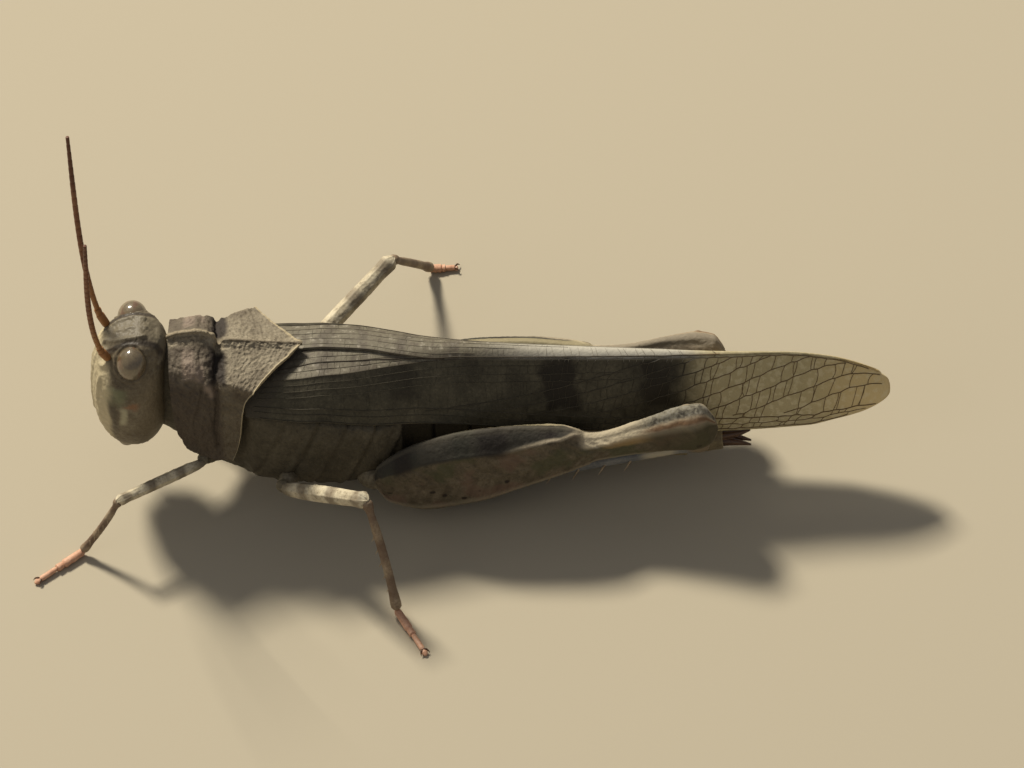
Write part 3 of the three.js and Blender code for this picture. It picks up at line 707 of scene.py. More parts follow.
# %% Sizes of the fore wings
WING_TIP = body_length
WING_FOLD = 0.3  # the share of the outer face that lies on the back
TIP_ROUNDING = 1.65  # how far the corners of the tip fall back
TIP_BLUNTNESS = 2.5  # 2 is an ellipse, and more is blunter
TUCKED_UNDER = 0.1  # how far the left wing reaches under the right one
OVERLAP_LIFT = 0.05
BEHIND_SADDLE = 8.6  # ahead of this the wings dip by DIP, to pass under the saddle
DIP = 0.1

ridge_height = along(
    [5.6, 6.5], [8, 6.72], [13, 6.62], [17, 6.36], [20.5, 6.1], [23, 5.93], [25.5, 5.83], [26.3, 5.7],
    [27.0, 5.53], [27.6, 5.3], [28.25, 4.95], [28.6, 4.72], [29.05, 4.3],
)
fold_width = {
    -1: along(
        [5.6, 1.3], [7.4, 1.25], [9.1, 1.12], [10.9, 0.76], [12.2, 0.52], [14, 0.38], [18.3, 0.31],
        [22.5, 0.17], [25, 0.07], [29.05, 0.05],
    ),
    1: along(
        [5.6, 1.5], [7.4, 1.3], [9.5, 1.22], [11, 0.95], [12.2, 0.68], [14, 0.46], [18.3, 0.24], [21, 0.16],
        [22.5, 0.1], [25, 0.05], [29.05, 0.04],
    ),
}
seam_place = {
    -1: lambda x: -TUCKED_UNDER + 0 * x,
    1: along(
        [7.6, 0], [9, -0.08], [10.1, -0.17], [11.2, -0.36], [12.4, -0.45], [13.5, -0.38], [18, -0.3],
        [20.5, -0.22], [23, -0.1], [25, -0.05], [29.05, -0.03],
    ),
}
fold_drop = along([5.6, 0.1], [9, 0.2], [14, 0.25], [18, 0.16], [22.5, 0.1], [25, 0.06], [29.05, 0.05])
hem_width = along(
    [5.6, 2.1], [7.6, 2.3], [10.2, 2.1], [12, 1.85], [16, 1.45], [20, 1.2], [23.5, 0.98], [26, 0.75],
    [27.6, 0.62], [29.05, 0.45],
)
hem_height = along(
    [5.6, 5.5], [7.6, 5.35], [10.2, 4.75], [12, 4.5], [16, 3.6], [20, 3.0], [23.5, 2.68], [26, 2.6],
    [27, 2.82], [27.6, 2.97], [28.5, 3.15], [29.05, 3.25],
)
tips_meet = along([22, 1.0], [27, 0.6], [29.05, 0.25])  # the right wing's tip lies pressed to the left one's


# %% A point of the wing: x along it and q across it, from the seam at 0 over the fold to the hem at 1
def wing_point(x, q, side, lift=0.0):
    fold_y, inner = fold_width[side](x), seam_place[side](x)
    fold_z = ridge_height(x) - fold_drop(x)
    other_fold = fold_width[-side](x)
    hem_y = hem_width(x) * (tips_meet(x) if side > 0 else 1.0)

    def section(r):
        on_back = np.clip(r / WING_FOLD, 0, 1)
        down = np.clip((r - WING_FOLD) / (1 - WING_FOLD), 0, 1)
        bulge = np.sin(np.pi * down) * np.clip((fold_z - hem_height(x)) / 3, 0, 1)
        back_y = lerp(inner, fold_y, on_back)
        slope = (back_y / np.where(back_y < 0, other_fold, fold_y)) ** 2
        y = back_y + (hem_y - fold_y) * down + 0.2 * bulge
        z = ridge_height(x) - fold_drop(x) * slope + (hem_height(x) - fold_z) * down + 0.08 * bulge
        return y, z

    y, z = section(q)
    ahead, behind = section(np.minimum(q + 0.05, 1)), section(np.maximum(q - 0.05, 0))
    across, fall = ahead[0] - behind[0], ahead[1] - behind[1]
    length = np.hypot(across, fall)
    y = y - lift * fall / length
    z = z + lift * across / length
    z = z - DIP * step_up(BEHIND_SADDLE - x, 0, 1.0)
    over = step_up(WING_FOLD - q, -0.02, 0.1)
    z = z + side * OVERLAP_LIFT * over
    return x, side * y, z


def wing_start(q, side):
    y = np.abs(wing_point(6.5 + 0 * q, q, side)[1])
    return SADDLE_TIP - 0.55 - np.minimum(y, 1.9) * 0.88 + np.maximum(0, q - 0.75) * 0.4


def wing_end(q, side):
    corner = np.clip(np.abs(q - 0.5) / 0.5, 0, 1)
    tip = WING_TIP - (0.25 if side > 0 else 0)
    return tip - TIP_ROUNDING * (1 - (1 - 0.998 * corner**TIP_BLUNTNESS) ** (1 / TIP_BLUNTNESS))


def wing_place(side):
    def place(t, s):
        x = lerp(wing_start(s, side), wing_end(s, side), t)
        return wing_point(x, s, side)

    return place


# %% [markdown]
# ## The veins
# The veins stiffen the wing. A few long ones run from the shoulder, the strongest of them gives off a fan
# of branches that slant up to the back edge near the tip, and short cross-veins tie them into cells. The
# long ones are rules for q against x. Wherever two of them lie side by side, a seeded loop lays
# cross-veins between them, and each long vein bends a little towards every cross-vein that meets it, so
# the cells become irregular polygons. Geometry Nodes turn all these lines into thin round cords.

# %% The long veins, each as its start, its end, its rule, its thickness and how dark it is
def straight_vein(start_q, end_q, start_x, end_x):
    return lambda x: lerp(start_q, end_q, min(1.0, max(0.0, (x - start_x) / (end_x - start_x))))


def branch_vein(start, reach):
    """A branch leaves the strongest vein and rises in a bow to the fold."""
    return lambda x: 0.845 - 0.545 * min(1.0, max(0.0, (x - start) / reach)) ** 1.15


def long_veins(side):
    veins = []
    for k, end in enumerate((14.0, 15.5, 17.5, 21.0)):
        rule = straight_vein(0.05 + 0.06 * k, 0.04 + 0.068 * k, 7, end)
        veins.append((7.6 - 0.4 * k, end, rule, 0.011, 0.25))
    veins.append((7.8, 23.0, straight_vein(0.006, 0.006, 7, 23), 0.026, 1.0))
    if side < 0:
        crossing = along([6.9, 0.2], [8.3, 0.165], [10.1, 0.18], [11.5, 0.225], [13, 0.285])
        veins.append((6.9, 13.0, crossing, 0.024, 1.0))
    veins += [
        (6.6, 28.3, straight_vein(WING_FOLD, WING_FOLD, 6, 28), 0.018, 0.7),
        (6.3, 17.0, straight_vein(0.40, 0.36, 6, 17), 0.01, 0.2),
        (6.2, 19.5, straight_vein(0.50, 0.42, 6, 19.5), 0.013, 0.2),
        (6.1, 21.5, straight_vein(0.60, 0.46, 6, 21.5), 0.011, 0.2),
        (6.0, 28.6, along([6, 0.76], [16, 0.84], [28.6, 0.89]), 0.022, 0.3),
        (6.0, 28.2, along([6, 0.86], [16, 0.91], [28.2, 0.94]), 0.015, 0.3),
        (6.2, 27.5, straight_vein(0.985, 0.985, 6, 28), 0.02, 0.4),
    ]
    for k in range(8):
        start, reach = 12.2 + 1.85 * k, 8.6 - 0.5 * k
        veins.append((start, min(start + reach, 28.75), branch_vein(start, reach), 0.018, 0.4))
    return veins


print("long veins in the left wing:", len(long_veins(-1)))


# %% Cross-veins between neighbours, and the whole net as points, edges, thickness and darkness
VEIN_STEP = 0.09
NET_START, NET_END = 7.4, 28.6
NET_OPENS = (14, 21)  # between these places the net grows coarser and its cross-veins thicker
KEPT_SHARE = 0.84  # of the places where a cross-vein could lie
LEAST_GAP = 0.02
SEAM_SIDE, HEM_SIDE = 0.004, 0.99  # the veins keep between these shares of the width


def vein_net(side, seed):
    rng = np.random.default_rng(seed)
    veins = long_veins(side)
    points, edges, thick, tone = [], [], [], []
    bends = [[] for _ in veins]
    links = []

    def line(xs, qs, radius, darkness):
        xs, qs = np.asarray(xs, float), np.clip(np.asarray(qs, float), SEAM_SIDE, HEM_SIDE)
        inside = (xs < wing_end(qs, side) - 0.03) & (xs > wing_start(qs, side) + 0.05)
        xs, qs = xs[inside], qs[inside]
        if len(xs) < 2:
            return
        first = len(points)
        points.extend(np.stack(np.broadcast_arrays(*wing_point(xs, qs, side, 0.006)), -1))
        edges.extend((first + k, first + k + 1) for k in range(len(xs) - 1))
        thick.extend([radius] * len(xs))
        tone.extend([darkness] * len(xs))

    def bent(k, x):
        """The long vein's place at x, drawn towards the cross-veins that meet it."""
        pull = sum(sign * size * max(0.0, 1 - abs(x - at) / spread) for at, sign, size, spread in bends[k])
        return float(veins[k][2](x)) + pull

    x = NET_START
    while x < NET_END:
        clearness = float(step_up(x, *NET_OPENS))
        active = sorted((float(v[2](x)), k) for k, v in enumerate(veins) if v[0] <= x <= v[1])
        for row, ((low, lower), (high, upper)) in enumerate(zip(active[:-1], active[1:])):
            gap = high - low
            if gap < LEAST_GAP or rng.random() > KEPT_SHARE:
                continue
            stagger = (0.13 + 0.13 * clearness) * (row % 2)
            here = x + stagger + rng.normal(0, 0.08 + 0.03 * clearness)
            slant = rng.normal(0.0, 0.05) - (0.1 + 0.5 * gap) * clearness
            size = min(0.007, 0.15 * gap) * clearness
            bends[lower].append((here, 1, size, 0.25))
            bends[upper].append((here + slant, -1, size, 0.25))
            links.append((here, slant, lower, upper, rng.normal(0, 0.03), clearness))
        x += 0.26 + 0.12 * clearness
    for here, slant, lower, upper, bow, clearness in links:
        share = np.linspace(0, 1, 4)
        xs = here + slant * share + bow * np.sin(np.pi * share)
        qs = lerp(bent(lower, here), bent(upper, here + slant), share)
        line(xs, qs, 0.004 + 0.009 * clearness, 0.15 + (0.4 if qs[0] > WING_FOLD else 0.1) * clearness)
    for k, (start, end, _, radius, darkness) in enumerate(veins):
        xs = np.arange(start, end, VEIN_STEP)
        line(xs, [bent(k, x) for x in xs], radius, darkness)
    return points, edges, thick, tone


# %% The tree that turns lines into cords
def finish_tree(t, shape, material, name):
    """The end that both trees share: what they made is real mesh with one material."""
    solid = t.add("GeometryNodeRealizeInstances", {"Geometry": shape}).outputs["Geometry"]
    done = t.add("GeometryNodeSetMaterial", {"Geometry": solid, "Material": material})
    t.add("NodeGroupOutput", {name: done.outputs["Geometry"]})
    return t.tree


def attribute(t, name, kind):
    return t.add("GeometryNodeInputNamedAttribute", {"Name": name}, data_type=kind).outputs["Attribute"]


def make_cords():
    inputs = [("Lines", "Geometry"), ("Scale", "Float", 1.0), ("Corners", "Int", 6), ("Material", "Material")]
    t, given = new_tree("cords", "Geometry", inputs, [("Cords", "Geometry")])
    radius = t.times(attribute(t, "thick", "FLOAT"), given["Scale"])
    curves = t.add("GeometryNodeMeshToCurve", {"Mesh": given["Lines"]}).outputs["Curve"]
    ring = t.add("GeometryNodeCurvePrimitiveCircle", {"Resolution": given["Corners"], "Radius": 1.0})
    sizes = {"Curve": curves, "Profile Curve": ring.outputs["Curve"], "Scale": radius, "Fill Caps": True}
    tubes = t.add("GeometryNodeCurveToMesh", sizes).outputs["Mesh"]
    return finish_tree(t, tubes, given["Material"], "Cords")


def run_tree(name, start, tree, inputs):
    """Runs a Geometry Nodes tree on a mesh and keeps what it makes as a plain mesh object."""
    holder = link(name + "_lines", start)
    modifier = holder.modifiers.new("nodes", "NODES")
    modifier.node_group = tree
    identifiers = {item.name: item.identifier for item in tree.interface.items_tree}
    for input_name, value in inputs.items():
        modifier[identifiers[input_name]] = value
    bpy.context.view_layer.update()
    evaluated = holder.evaluated_get(bpy.context.evaluated_depsgraph_get())
    mesh = bpy.data.meshes.new_from_object(evaluated)
    bpy.data.objects.remove(holder)
    mesh.name = name
    mesh.shade_smooth()
    return link(name, mesh)


CORDS = make_cords()


def cords(name, points, edges, thick, tone, material):
    mesh = bpy.data.meshes.new(name + "_lines")
    mesh.from_pydata(to_frame(points).tolist(), np.array(edges).tolist(), [])
    mesh.attributes.new("thick", "FLOAT", "POINT").data.foreach_set("value", np.array(thick) * MM)
    mesh.attributes.new("tone", "FLOAT", "POINT").data.foreach_set("value", tone)
    return run_tree(name, mesh, CORDS, {"Material": material})


# %% The wing's colours: grey brown leather with dark bands, a painted shadow beside the saddle, and a clear, amber end brightened with painted light
leather = Finish(
    "wing_leather", 0.65, 0.3, (0.062, 0.054, 0.034), (0.12, 0.104, 0.067), (0.024, 0.02, 0.013),
    0.8, 0.12, 0.65, 0.55,
)
leather.measures["fine"] = leather.clouds(leather.position, 4.5, 3.0)
on_back = leather.maths("SUBTRACT", 1.0, leather.mask("turn", 0.28, 0.32))
leather.paint((0.18, 0.158, 0.112), 0.75, on_back)
leather.paint((0.09, 0.07, 0.052), 0.6, on_back, ("fine", 0.52, 0.66))
leather.paint((0.4, 0.36, 0.29), 0.5, on_back, ("fine", 0.44, 0.3))
leather.paint((0.5, 0.47, 0.39), 0.85, on_back, ("x", 13.5, 17.5))
for centre, half, middle, tall, strength in (
    (11.4, 0.5, 0.5, 0.2, 0.6), (14.0, 0.3, 0.42, 0.12, 0.35), (15.4, 0.35, 0.6, 0.2, 0.3),
    (17.1, 0.72, 0.55, 0.26, 0.95), (20.6, 0.55, 0.52, 0.2, 0.9), (21.3, 0.25, 0.4, 0.1, 0.5),
):
    dark_band = ("x", centre, half, 0.25, 0.45), ("turn", middle, tall, 0.08, 0.1)
    leather.paint((0.018, 0.014, 0.009), strength, *dark_band)
for centre in (8.6, 9.9, 11.4, 13.2):
    leather.paint((0.06, 0.046, 0.036), 0.5, ("x", centre, 0.2, 0.15, 0.5), on_back)
# A painted shadow on the near wing's base, where the saddle's edge shades it.
leather.paint((0.05, 0.041, 0.029), 0.7, ("share", 0.05, 0.034), ("y", 0.1, -0.1))  # beside the saddle
clear = leather.mask("x", 21.2, 22.9)
# The clear end is painted bright and amber: its own amber tint, brightened with painted light that stands for
# the light shining through the thin membrane.
leather.paint((0.5, 0.42, 0.23), 0.9, clear)
leather.paint((0.76, 0.58, 0.28), 0.7, ("x", 25.5, 28.5))
leather.paint((0.72, 0.64, 0.42), 0.35, clear, ("fine", 0.48, 0.62))
opacity = leather.maths("SUBTRACT", 1.0, leather.times(clear, 0.15))
leather.tree.links.new(opacity, leather.shader["Alpha"])
WING_LEATHER = leather.done(0.012)

vein_horn = Finish(
    "vein_horn", 0.6, 0.3, (0.066, 0.057, 0.036), (0.12, 0.104, 0.067), (0.035, 0.029, 0.019),
    0.7, 0.1, 0.5, 0.5,
)
x, z = vein_horn.measures["x"], vein_horn.measures["z"]
vein_horn.measures["height on the roof"] = vein_horn.maths("MULTIPLY_ADD", x, 0.069, z)
on_strip = vein_horn.mask("height on the roof", 7.24, 7.34)
vein_horn.paint((0.23, 0.2, 0.145), 0.8, on_strip)
vein_horn.paint((0.44, 0.41, 0.34), 0.8, on_strip, ("x", 13.5, 17.5))
tone = vein_horn.add("ShaderNodeAttribute", attribute_name="tone").outputs["Fac"]
vein_horn.paint((0.035, 0.026, 0.016), 0.9, tone)
vein_horn.paint((0.17, 0.115, 0.055), 0.9, ("x", 21.5, 23.0))
VEIN_HORN = vein_horn.done()


# %% The wings and their nets
def wing_thickness(t, s):
    return 0.085 - 0.045 * t


def wing_relief(points, t, s):
    return 0.012 * grain(points, 0.4, 2.0, 1) * (1 - t)


for name, side in SIDES.items():
    wing = sheet(300, 84, wing_place(side), wing_thickness, wing_relief)
    build(f"fore_wing_{name}", wing, WING_LEATHER, "wing", f"tegmen_{name}")
    keep(cords(f"fore_wing_veins_{name}", *vein_net(side, 20 + side), VEIN_HORN), "wing")

# %% [markdown]
# ## The trunk
# Under the saddle and the wings lies the trunk: three fused rings that carry the legs. Slanting seams part
# its side plates, and its underside is broad and flat. The front of it is the neck, which runs on into the
# head. It keeps inside the roof of the wings.

# %% Sizes of the trunk, and the room under the wings
TRUNK_START, TRUNK_END = 2.5, 11.3
ROOF_START = 5.9  # the wings lie over the trunk from here on
ROOF_SAMPLES = 32
trunk_half = along(
    [2.5, 1.0], [3.4, 1.3], [4.5, 1.66], [5.4, 1.82], [6.0, 2.2], [8.5, 2.5], [10.2, 2.36], [11.3, 1.95],
)
trunk_top = along([2.5, 6.0], [3.4, 6.4], [5.6, 6.25], [8, 6.0], [10, 5.7], [11.3, 5.2])
trunk_bottom = along([2.5, 3.3], [3.4, 2.7], [4.4, 1.7], [6, 1.05], [8.5, 0.9], [10.2, 1.1], [11.3, 1.45])


def tucked(x, y, z, clearance=0.25):
    """Keeps points inside the roof of the wings."""
    q = np.linspace(0, 1, ROOF_SAMPLES).reshape((ROOF_SAMPLES,) + (1,) * np.ndim(x))
    beneath = np.broadcast_to(x, (ROOF_SAMPLES,) + np.shape(x))
    rooms = {}
    for side in (-1, 1):
        _, inner_y, inner_z = wing_point(beneath, q, side, -clearance)
        below = inner_z <= z
        first = np.argmax(below, axis=0)
        room = np.take_along_axis(np.abs(inner_y), first[None], 0)[0]
        room = np.where(below.any(0), np.maximum(room, 0.05), np.inf)
        rooms[side] = np.where(x < ROOF_START, np.inf, room)
    return x, np.sign(y) * np.minimum(np.abs(y), np.where(y < 0, rooms[-1], rooms[1])), z


# %% The trunk's outline, relief and colour
def trunk_place(t, a):
    x = lerp(TRUNK_START, TRUNK_END, t)
    middle = (trunk_top(x) + trunk_bottom(x)) / 2
    half = (trunk_top(x) - trunk_bottom(x)) / 2
    y = trunk_half(x) * squared(np.cos(TAU * a), 3.0)
    return tucked(x, y, middle + half * squared(np.sin(TAU * a), 2.8))


def trunk_relief(points, t, a):
    x, y, z = split(points)
    side_on = step_up(np.abs(y), 1.0, 1.5)
    height = 0 * x
    for foot, deep in ((5.7, 0.05), (6.9, 0.1), (8.0, 0.06), (9.15, 0.1), (10.3, 0.06)):
        seam = x - foot - 0.42 * (z - 1.6)
        height += side_on * (0.6 * deep * bump(seam + 0.16, 0.12) - deep * bump(seam, 0.07))
    height -= 0.05 * bump(y, 0.1) * step_up(2.5 - z, 0, 0.5)
    height -= 0.05 * bump(x - 7.6, 0.07) * step_up(2.2 - z, 0, 0.4)
    height += 0.03 * grain(points, 0.35, 4.0) + 0.012 * grain(points, 0.12, 6.0)
    return height


trunk_horn = Finish(
    "trunk_horn", 0.65, 0.3, (0.064, 0.053, 0.033), (0.13, 0.11, 0.072), (0.026, 0.02, 0.013),
    1.0, 0.14, 0.5, 0.6,
)
trunk_horn.paint((0.26, 0.21, 0.13), 0.5, ("z", 1.5, 0.95))
TRUNK_HORN = trunk_horn.done(0.02)


def neck_place(t, a):
    """The soft neck fills the room between the head and the saddle."""
    return lerp(2.4, 3.8, t), 1.02 * np.cos(TAU * a), 5.4 + 1.95 * np.sin(TAU * a)


trunk = joined(loft(150, 160, trunk_place, trunk_relief), loft(16, 60, neck_place))
build("trunk", trunk, TRUNK_HORN, "shell", "thorax")

# %% [markdown]
# ## The abdomen
# Nine rings, each an upper and a lower plate joined by a soft fold along the side. The hind edge of each
# ring laps over the next one, so the outline is a row of low steps, and a tiny breathing hole sits low on
# each side of a ring. A saw-tooth rule along the loft gives the steps.

# %% Abdomen
ABDOMEN_START = 11.1
ABDOMEN_END = from_frame(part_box("abdomen")[1])[0]
ABDOMEN_RINGS = 9
belly_half = along([11, 1.9], [12, 1.5], [14, 1.35], [18, 1.25], [21, 0.95], [22.3, 0.68], [22.9, 0.45])
belly_tall = along([11, 1.95], [14, 1.8], [18, 1.35], [21.5, 0.85], [22.9, 0.45])
belly_middle = along([11, 3.25], [14, 2.9], [18, 2.25], [21.5, 1.55], [22.9, 1.25])


def belly_place(t, a):
    x = lerp(ABDOMEN_START, ABDOMEN_END, t)
    y = belly_half(x) * squared(np.cos(TAU * a), 2.2)
    return tucked(x, y, belly_middle(x) + belly_tall(x) * squared(np.sin(TAU * a), 2.1))


def belly_relief(points, t, a):
    x, _, z = split(points)
    ring = (t * ABDOMEN_RINGS) % 1
    lip = 0.07 * (ring**2) - 0.1 * bump(ring, 0.06) - 0.1 * bump(ring - 1, 0.02)
    level = (z - belly_middle(x)) / belly_tall(x)
    fold = -0.1 * bump(level + 0.42, 0.09)
    hole = 0.06 * bump(np.hypot((ring - 0.3) * 1.3, z - belly_middle(x) + 0.2 * belly_tall(x)), 0.09)
    return lip + fold - hole + 0.012 * grain(points, 0.2, 7.0) - 0.04


belly_horn = Finish(
    "belly_horn", 0.5, 0.4, (0.2, 0.155, 0.08), (0.34, 0.28, 0.165), (0.05, 0.034, 0.02),
    0.7, 0.12, 0.5, 0.5,
)
rings_along = belly_horn.times(belly_horn.measures["share"], float(ABDOMEN_RINGS))
belly_horn.measures["ring"] = belly_horn.maths("FRACT", rings_along)
belly_horn.paint((0.06, 0.04, 0.025), 0.6, ("ring", 0.28, 0.05))
belly_horn.paint((0.4, 0.33, 0.2), 0.5, ("ring", 0.9, 0.97))
# The front rings are painted dark: painted shade in the gap under the wings' hem, beside the thighs.
belly_horn.paint((0.045, 0.036, 0.022), 0.85, ("x", 15.5, 13.0))
BELLY_HORN = belly_horn.done(0.012)
build("abdomen_rings", loft(200, 110, belly_place, belly_relief), BELLY_HORN, "belly", "abdomen")

# %% [markdown]
# ## Where the limbs begin and end
# Each leg is a chain of four sections: a short hip, a thigh, a shin and a foot. Their ends are measured on
# the frame's solids: the far ends of a section are the mean points of its two end slices along its
# longest direction, put in order from the body outwards.

# %% Measure the ends of a limb section
END_SLICE = 0.12
GROUND_GAP = 0.004  # no point of a limb lies lower than this


def limb_ends(node, near):
    points = from_frame([v.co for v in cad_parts[node].data.vertices])
    centre = points.mean(0)
    reach = (points - centre) @ np.linalg.svd(points - centre, full_matrices=False)[2][0]
    slices = (reach < reach.min() + END_SLICE, reach > reach.max() - END_SLICE)
    return sorted([points[end].mean(0) for end in slices], key=lambda end: np.linalg.norm(end - near))


legs = {}
for leg in [f"{pair}_{name}" for pair in ("front", "middle", "hind") for name in SIDES]:
    root = from_frame(sum(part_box(f"coxa_{leg}"), Vector()) / 2)
    hip, knee = limb_ends(f"femur_{leg}", root)
    shin_top, ankle = limb_ends(f"tibia_{leg}", knee)
    toe = limb_ends(f"tarsus_{leg}", ankle)[1]
    legs[leg] = dict(root=root, hip=hip, knee=knee, shin_top=shin_top, ankle=ankle, toe=toe)
thigh_line = legs["hind_left"]["knee"] - legs["hind_left"]["hip"]
print("left hind thigh:", round(float(np.linalg.norm(thigh_line)), 2), "mm")


# %% A limb section as a loft between two points
def limb(start, end, rings, sides, half, relief=None, up=(0, 0, 1), bend=None):
    """half(t) gives the half width, and the height above and below the line. bend(t) moves that line."""
    start, end = np.asarray(start, float), np.asarray(end, float)
    axis = unit(end - start)
    side = unit(np.cross(up, axis))
    rise = np.cross(axis, side)

    def place(t, a):
        width, above, below = half(t)
        across = width * np.cos(TAU * a)
        height = np.sin(TAU * a)
        height = height * np.where(height > 0, above, below)
        if bend is not None:
            height = height + bend(t)
        point = start + (end - start) * t[..., None] + across[..., None] * side + height[..., None] * rise
        return point[..., 0], point[..., 1], np.maximum(point[..., 2], GROUND_GAP)

    return loft(rings, sides, place, relief)


def tapered(t, ends):
    """1 along the middle of a section, falling away round both ends."""
    return np.sqrt(np.clip(np.minimum(t, 1 - t) / ends, 0.0005, 1))


def girth(thick, ends, swell=np.ones_like, shape=(1, 1, 1)):
    """The half(t) of a section whose thickness swells by a rule, with the same shape all along."""
    def half(t):
        size = thick * swell(t) * tapered(t, ends)
        return [size * part for part in shape]

    return half


# %% [markdown]
# ## Spines and beads
# Shins carry rows of sharp spines, and an antenna is a string of beads. Both are one small shape set many
# times at points, each pointing its own way. Geometry Nodes do this: the points carry a direction and a
# size, the tree sets the shape on each, and the result is made real.

# %% The tree that sets a small shape on points
def make_planting():
    inputs = [("Points", "Geometry"), ("Shape", "Object"), ("Material", "Material")]
    t, given = new_tree("planting", "Geometry", inputs, [("Planted", "Geometry")])
    way, size = (attribute(t, name, "FLOAT_VECTOR") for name in ("way", "size"))
    turn = t.add("FunctionNodeAlignRotationToVector", {"Vector": way}, axis="Z").outputs["Rotation"]
    shape = t.add("GeometryNodeObjectInfo", {"Object": given["Shape"]}).outputs["Geometry"]
    inputs = {"Points": given["Points"], "Instance": shape, "Rotation": turn, "Scale": size}
    planted = t.add("GeometryNodeInstanceOnPoints", inputs).outputs["Instances"]
    return finish_tree(t, planted, given["Material"], "Planted")


PLANTING = make_planting()


def small_shape(name, profile, corners):
    """A little turned shape along z, from (place, radius) pairs."""
    angles = TAU * np.arange(corners) / corners
    points = [(np.cos(a) * radius, np.sin(a) * radius, place) for place, radius in profile for a in angles]
    index = np.arange(len(points)).reshape(-1, corners)
    beside = np.roll(index, -1, 1)
    faces = np.stack([index[:-1], beside[:-1], beside[1:], index[1:]], -1).reshape(-1, 4).tolist()
    mesh = bpy.data.meshes.new(name)
    mesh.from_pydata(points, [], faces + [index[0, ::-1].tolist(), index[-1].tolist()])
    return link(name, mesh)


def plant(name, shape, plan, material):
    """Sets the shape along a plan: a list of (root, way, size)."""
    roots, ways, sizes = (np.array(column, float) for column in zip(*plan))
    mesh = bpy.data.meshes.new(name + "_points")
    mesh.from_pydata(to_frame(roots).tolist(), [], [])
    for attribute_name, values in (("way", ways), ("size", sizes * MM)):
        data = mesh.attributes.new(attribute_name, "FLOAT_VECTOR", "POINT").data
        data.foreach_set("vector", values.ravel())
    return run_tree(name, mesh, PLANTING, {"Shape": shape, "Material": material})


spine_profile = [(-0.1, 0.5), (0.0, 0.55), (0.5, 0.34), (0.85, 0.16), (1.0, 0.03)]
spine_shape = small_shape("spine_shape", spine_profile, 6)
bead_profile = [
    (-0.5, 0.36), (-0.47, 0.43), (-0.36, 0.485), (0.1, 0.5), (0.4, 0.5), (0.49, 0.44), (0.5, 0.34),
]
bead_shape = small_shape("bead_shape", bead_profile, 14)


# %% Colours of the limbs
def painted(values, bumpiness=0.0, layers=()):
    """A whole finish in one call: its values, the depth of its grain and its layers of paint."""
    finish = Finish(*values)
    for layer in layers:
        finish.paint(*layer)
    return finish.done(bumpiness)


leg_rings = [((0.095, 0.062, 0.04), 0.6, ("share", place, 0.05, 0.03, 0.03)) for place in (0.3, 0.62, 0.9)]
leg_colours = (0.53, 0.46, 0.32), (0.7, 0.64, 0.49), (0.12, 0.085, 0.055)
# The last layer darkens each walking thigh towards its hip: painted shade where the trunk shades the thigh's
# root.
LEG_HORN = painted(
    ("leg_horn", 0.65, 0.3, *leg_colours, 0.4, 0.11, 0.65, 0.6), 0.014,
    leg_rings + [((0.13, 0.105, 0.07), 0.8, ("share", 0.22, 0.06))],
)
hip_colours = (0.13, 0.108, 0.07), (0.3, 0.26, 0.18), (0.045, 0.036, 0.023)
HIP_HORN = painted(("hip_horn", 0.65, 0.3, *hip_colours, 0.4, 0.11, 0.6, 0.6), 0.014)

shin_rings = [((0.1, 0.055, 0.035), 0.65, ("share", place, 0.09, 0.04, 0.03)) for place in (0.12, 0.45, 0.78)]
shin_colours = (0.24, 0.175, 0.11), (0.42, 0.35, 0.24), (0.08, 0.045, 0.028)
SHIN_HORN = painted(("shin_horn", 0.55, 0.35, *shin_colours, 0.5, 0.09, 0.6, 0.5), 0.01, shin_rings)

blue_colours = (0.118, 0.123, 0.125), (0.3, 0.28, 0.24), (0.04, 0.038, 0.04)
pale_ring = (0.42, 0.37, 0.26), 0.85, ("share", 0.16, 0.05, 0.03, 0.02)
shin_head = (0.17, 0.12, 0.06), 0.85, ("share", 0.09, 0.04)
blue_shin_values = ("blue_shin_horn", 0.45, 0.45, *blue_colours, 0.8, 0.1, 0.4, 0.4)
BLUE_SHIN_HORN = painted(blue_shin_values, 0.01, [pale_ring, shin_head])

foot_colours = (0.58, 0.32, 0.2), (0.7, 0.5, 0.36), (0.28, 0.13, 0.075)
FOOT_HORN = painted(("foot_horn", 0.5, 0.35, *foot_colours, 0.4, 0.08, 0.55, 0.45), 0.008)

claw_colours = (0.1, 0.05, 0.025), (0.22, 0.13, 0.07), (0.025, 0.014, 0.009)
CLAW_HORN = painted(("claw_horn", 0.3, 0.5, *claw_colours, 0.3, 0.06, 0.4, 0.5))

jaw_colours = (0.17, 0.13, 0.08), (0.3, 0.25, 0.165), (0.05, 0.033, 0.02)
cutting_edge = (0.05, 0.03, 0.018), 0.5, ("z", 2.75, 2.45)
JAW_HORN = painted(("jaw_horn", 0.45, 0.45, *jaw_colours, 0.4, 0.09, 0.5, 0.5), 0.01, [cutting_edge])

spine_colours = (0.3, 0.22, 0.13), (0.42, 0.34, 0.22), (0.03, 0.02, 0.014)
SPINE_HORN = painted(("spine_horn", 0.4, 0.45, *spine_colours, 0.3, 0.06, 0.4, 0.4))

# %% [markdown]
# ## The walking legs
# The four walking legs are slender. A thigh is a little thicker at its hip end and carries fine keels
# along it, a shin is nearly even and spiny below, and the two meet in a hinge: the shin's head sits
# between the thigh's end lobes. So the thigh's loft ends a little past the knee, and the shin's starts
# inside it with a swelling.

# %% Hips
def hip_shape(leg, thick, inward):
    """A hip starts `inward` millimetres further inside the trunk than its solid does."""
    root, hip = legs[leg]["root"], legs[leg]["hip"]
    way = hip - root
    start = root - way * [0.9, 0.9, 0]
    start[1] -= np.sign(start[1]) * inward
    swell = along([0, 0.8], [0.35, 1.1], [0.7, 0.95], [0.85, 0.72], [0.92, 0.85], [1, 0.7])
    half = girth(thick, 0.1, swell)
    return limb(start, hip + way * 0.35, 44, 40, half, lambda p, t, a: 0.02 * grain(p, 0.2, 3.0, 1))


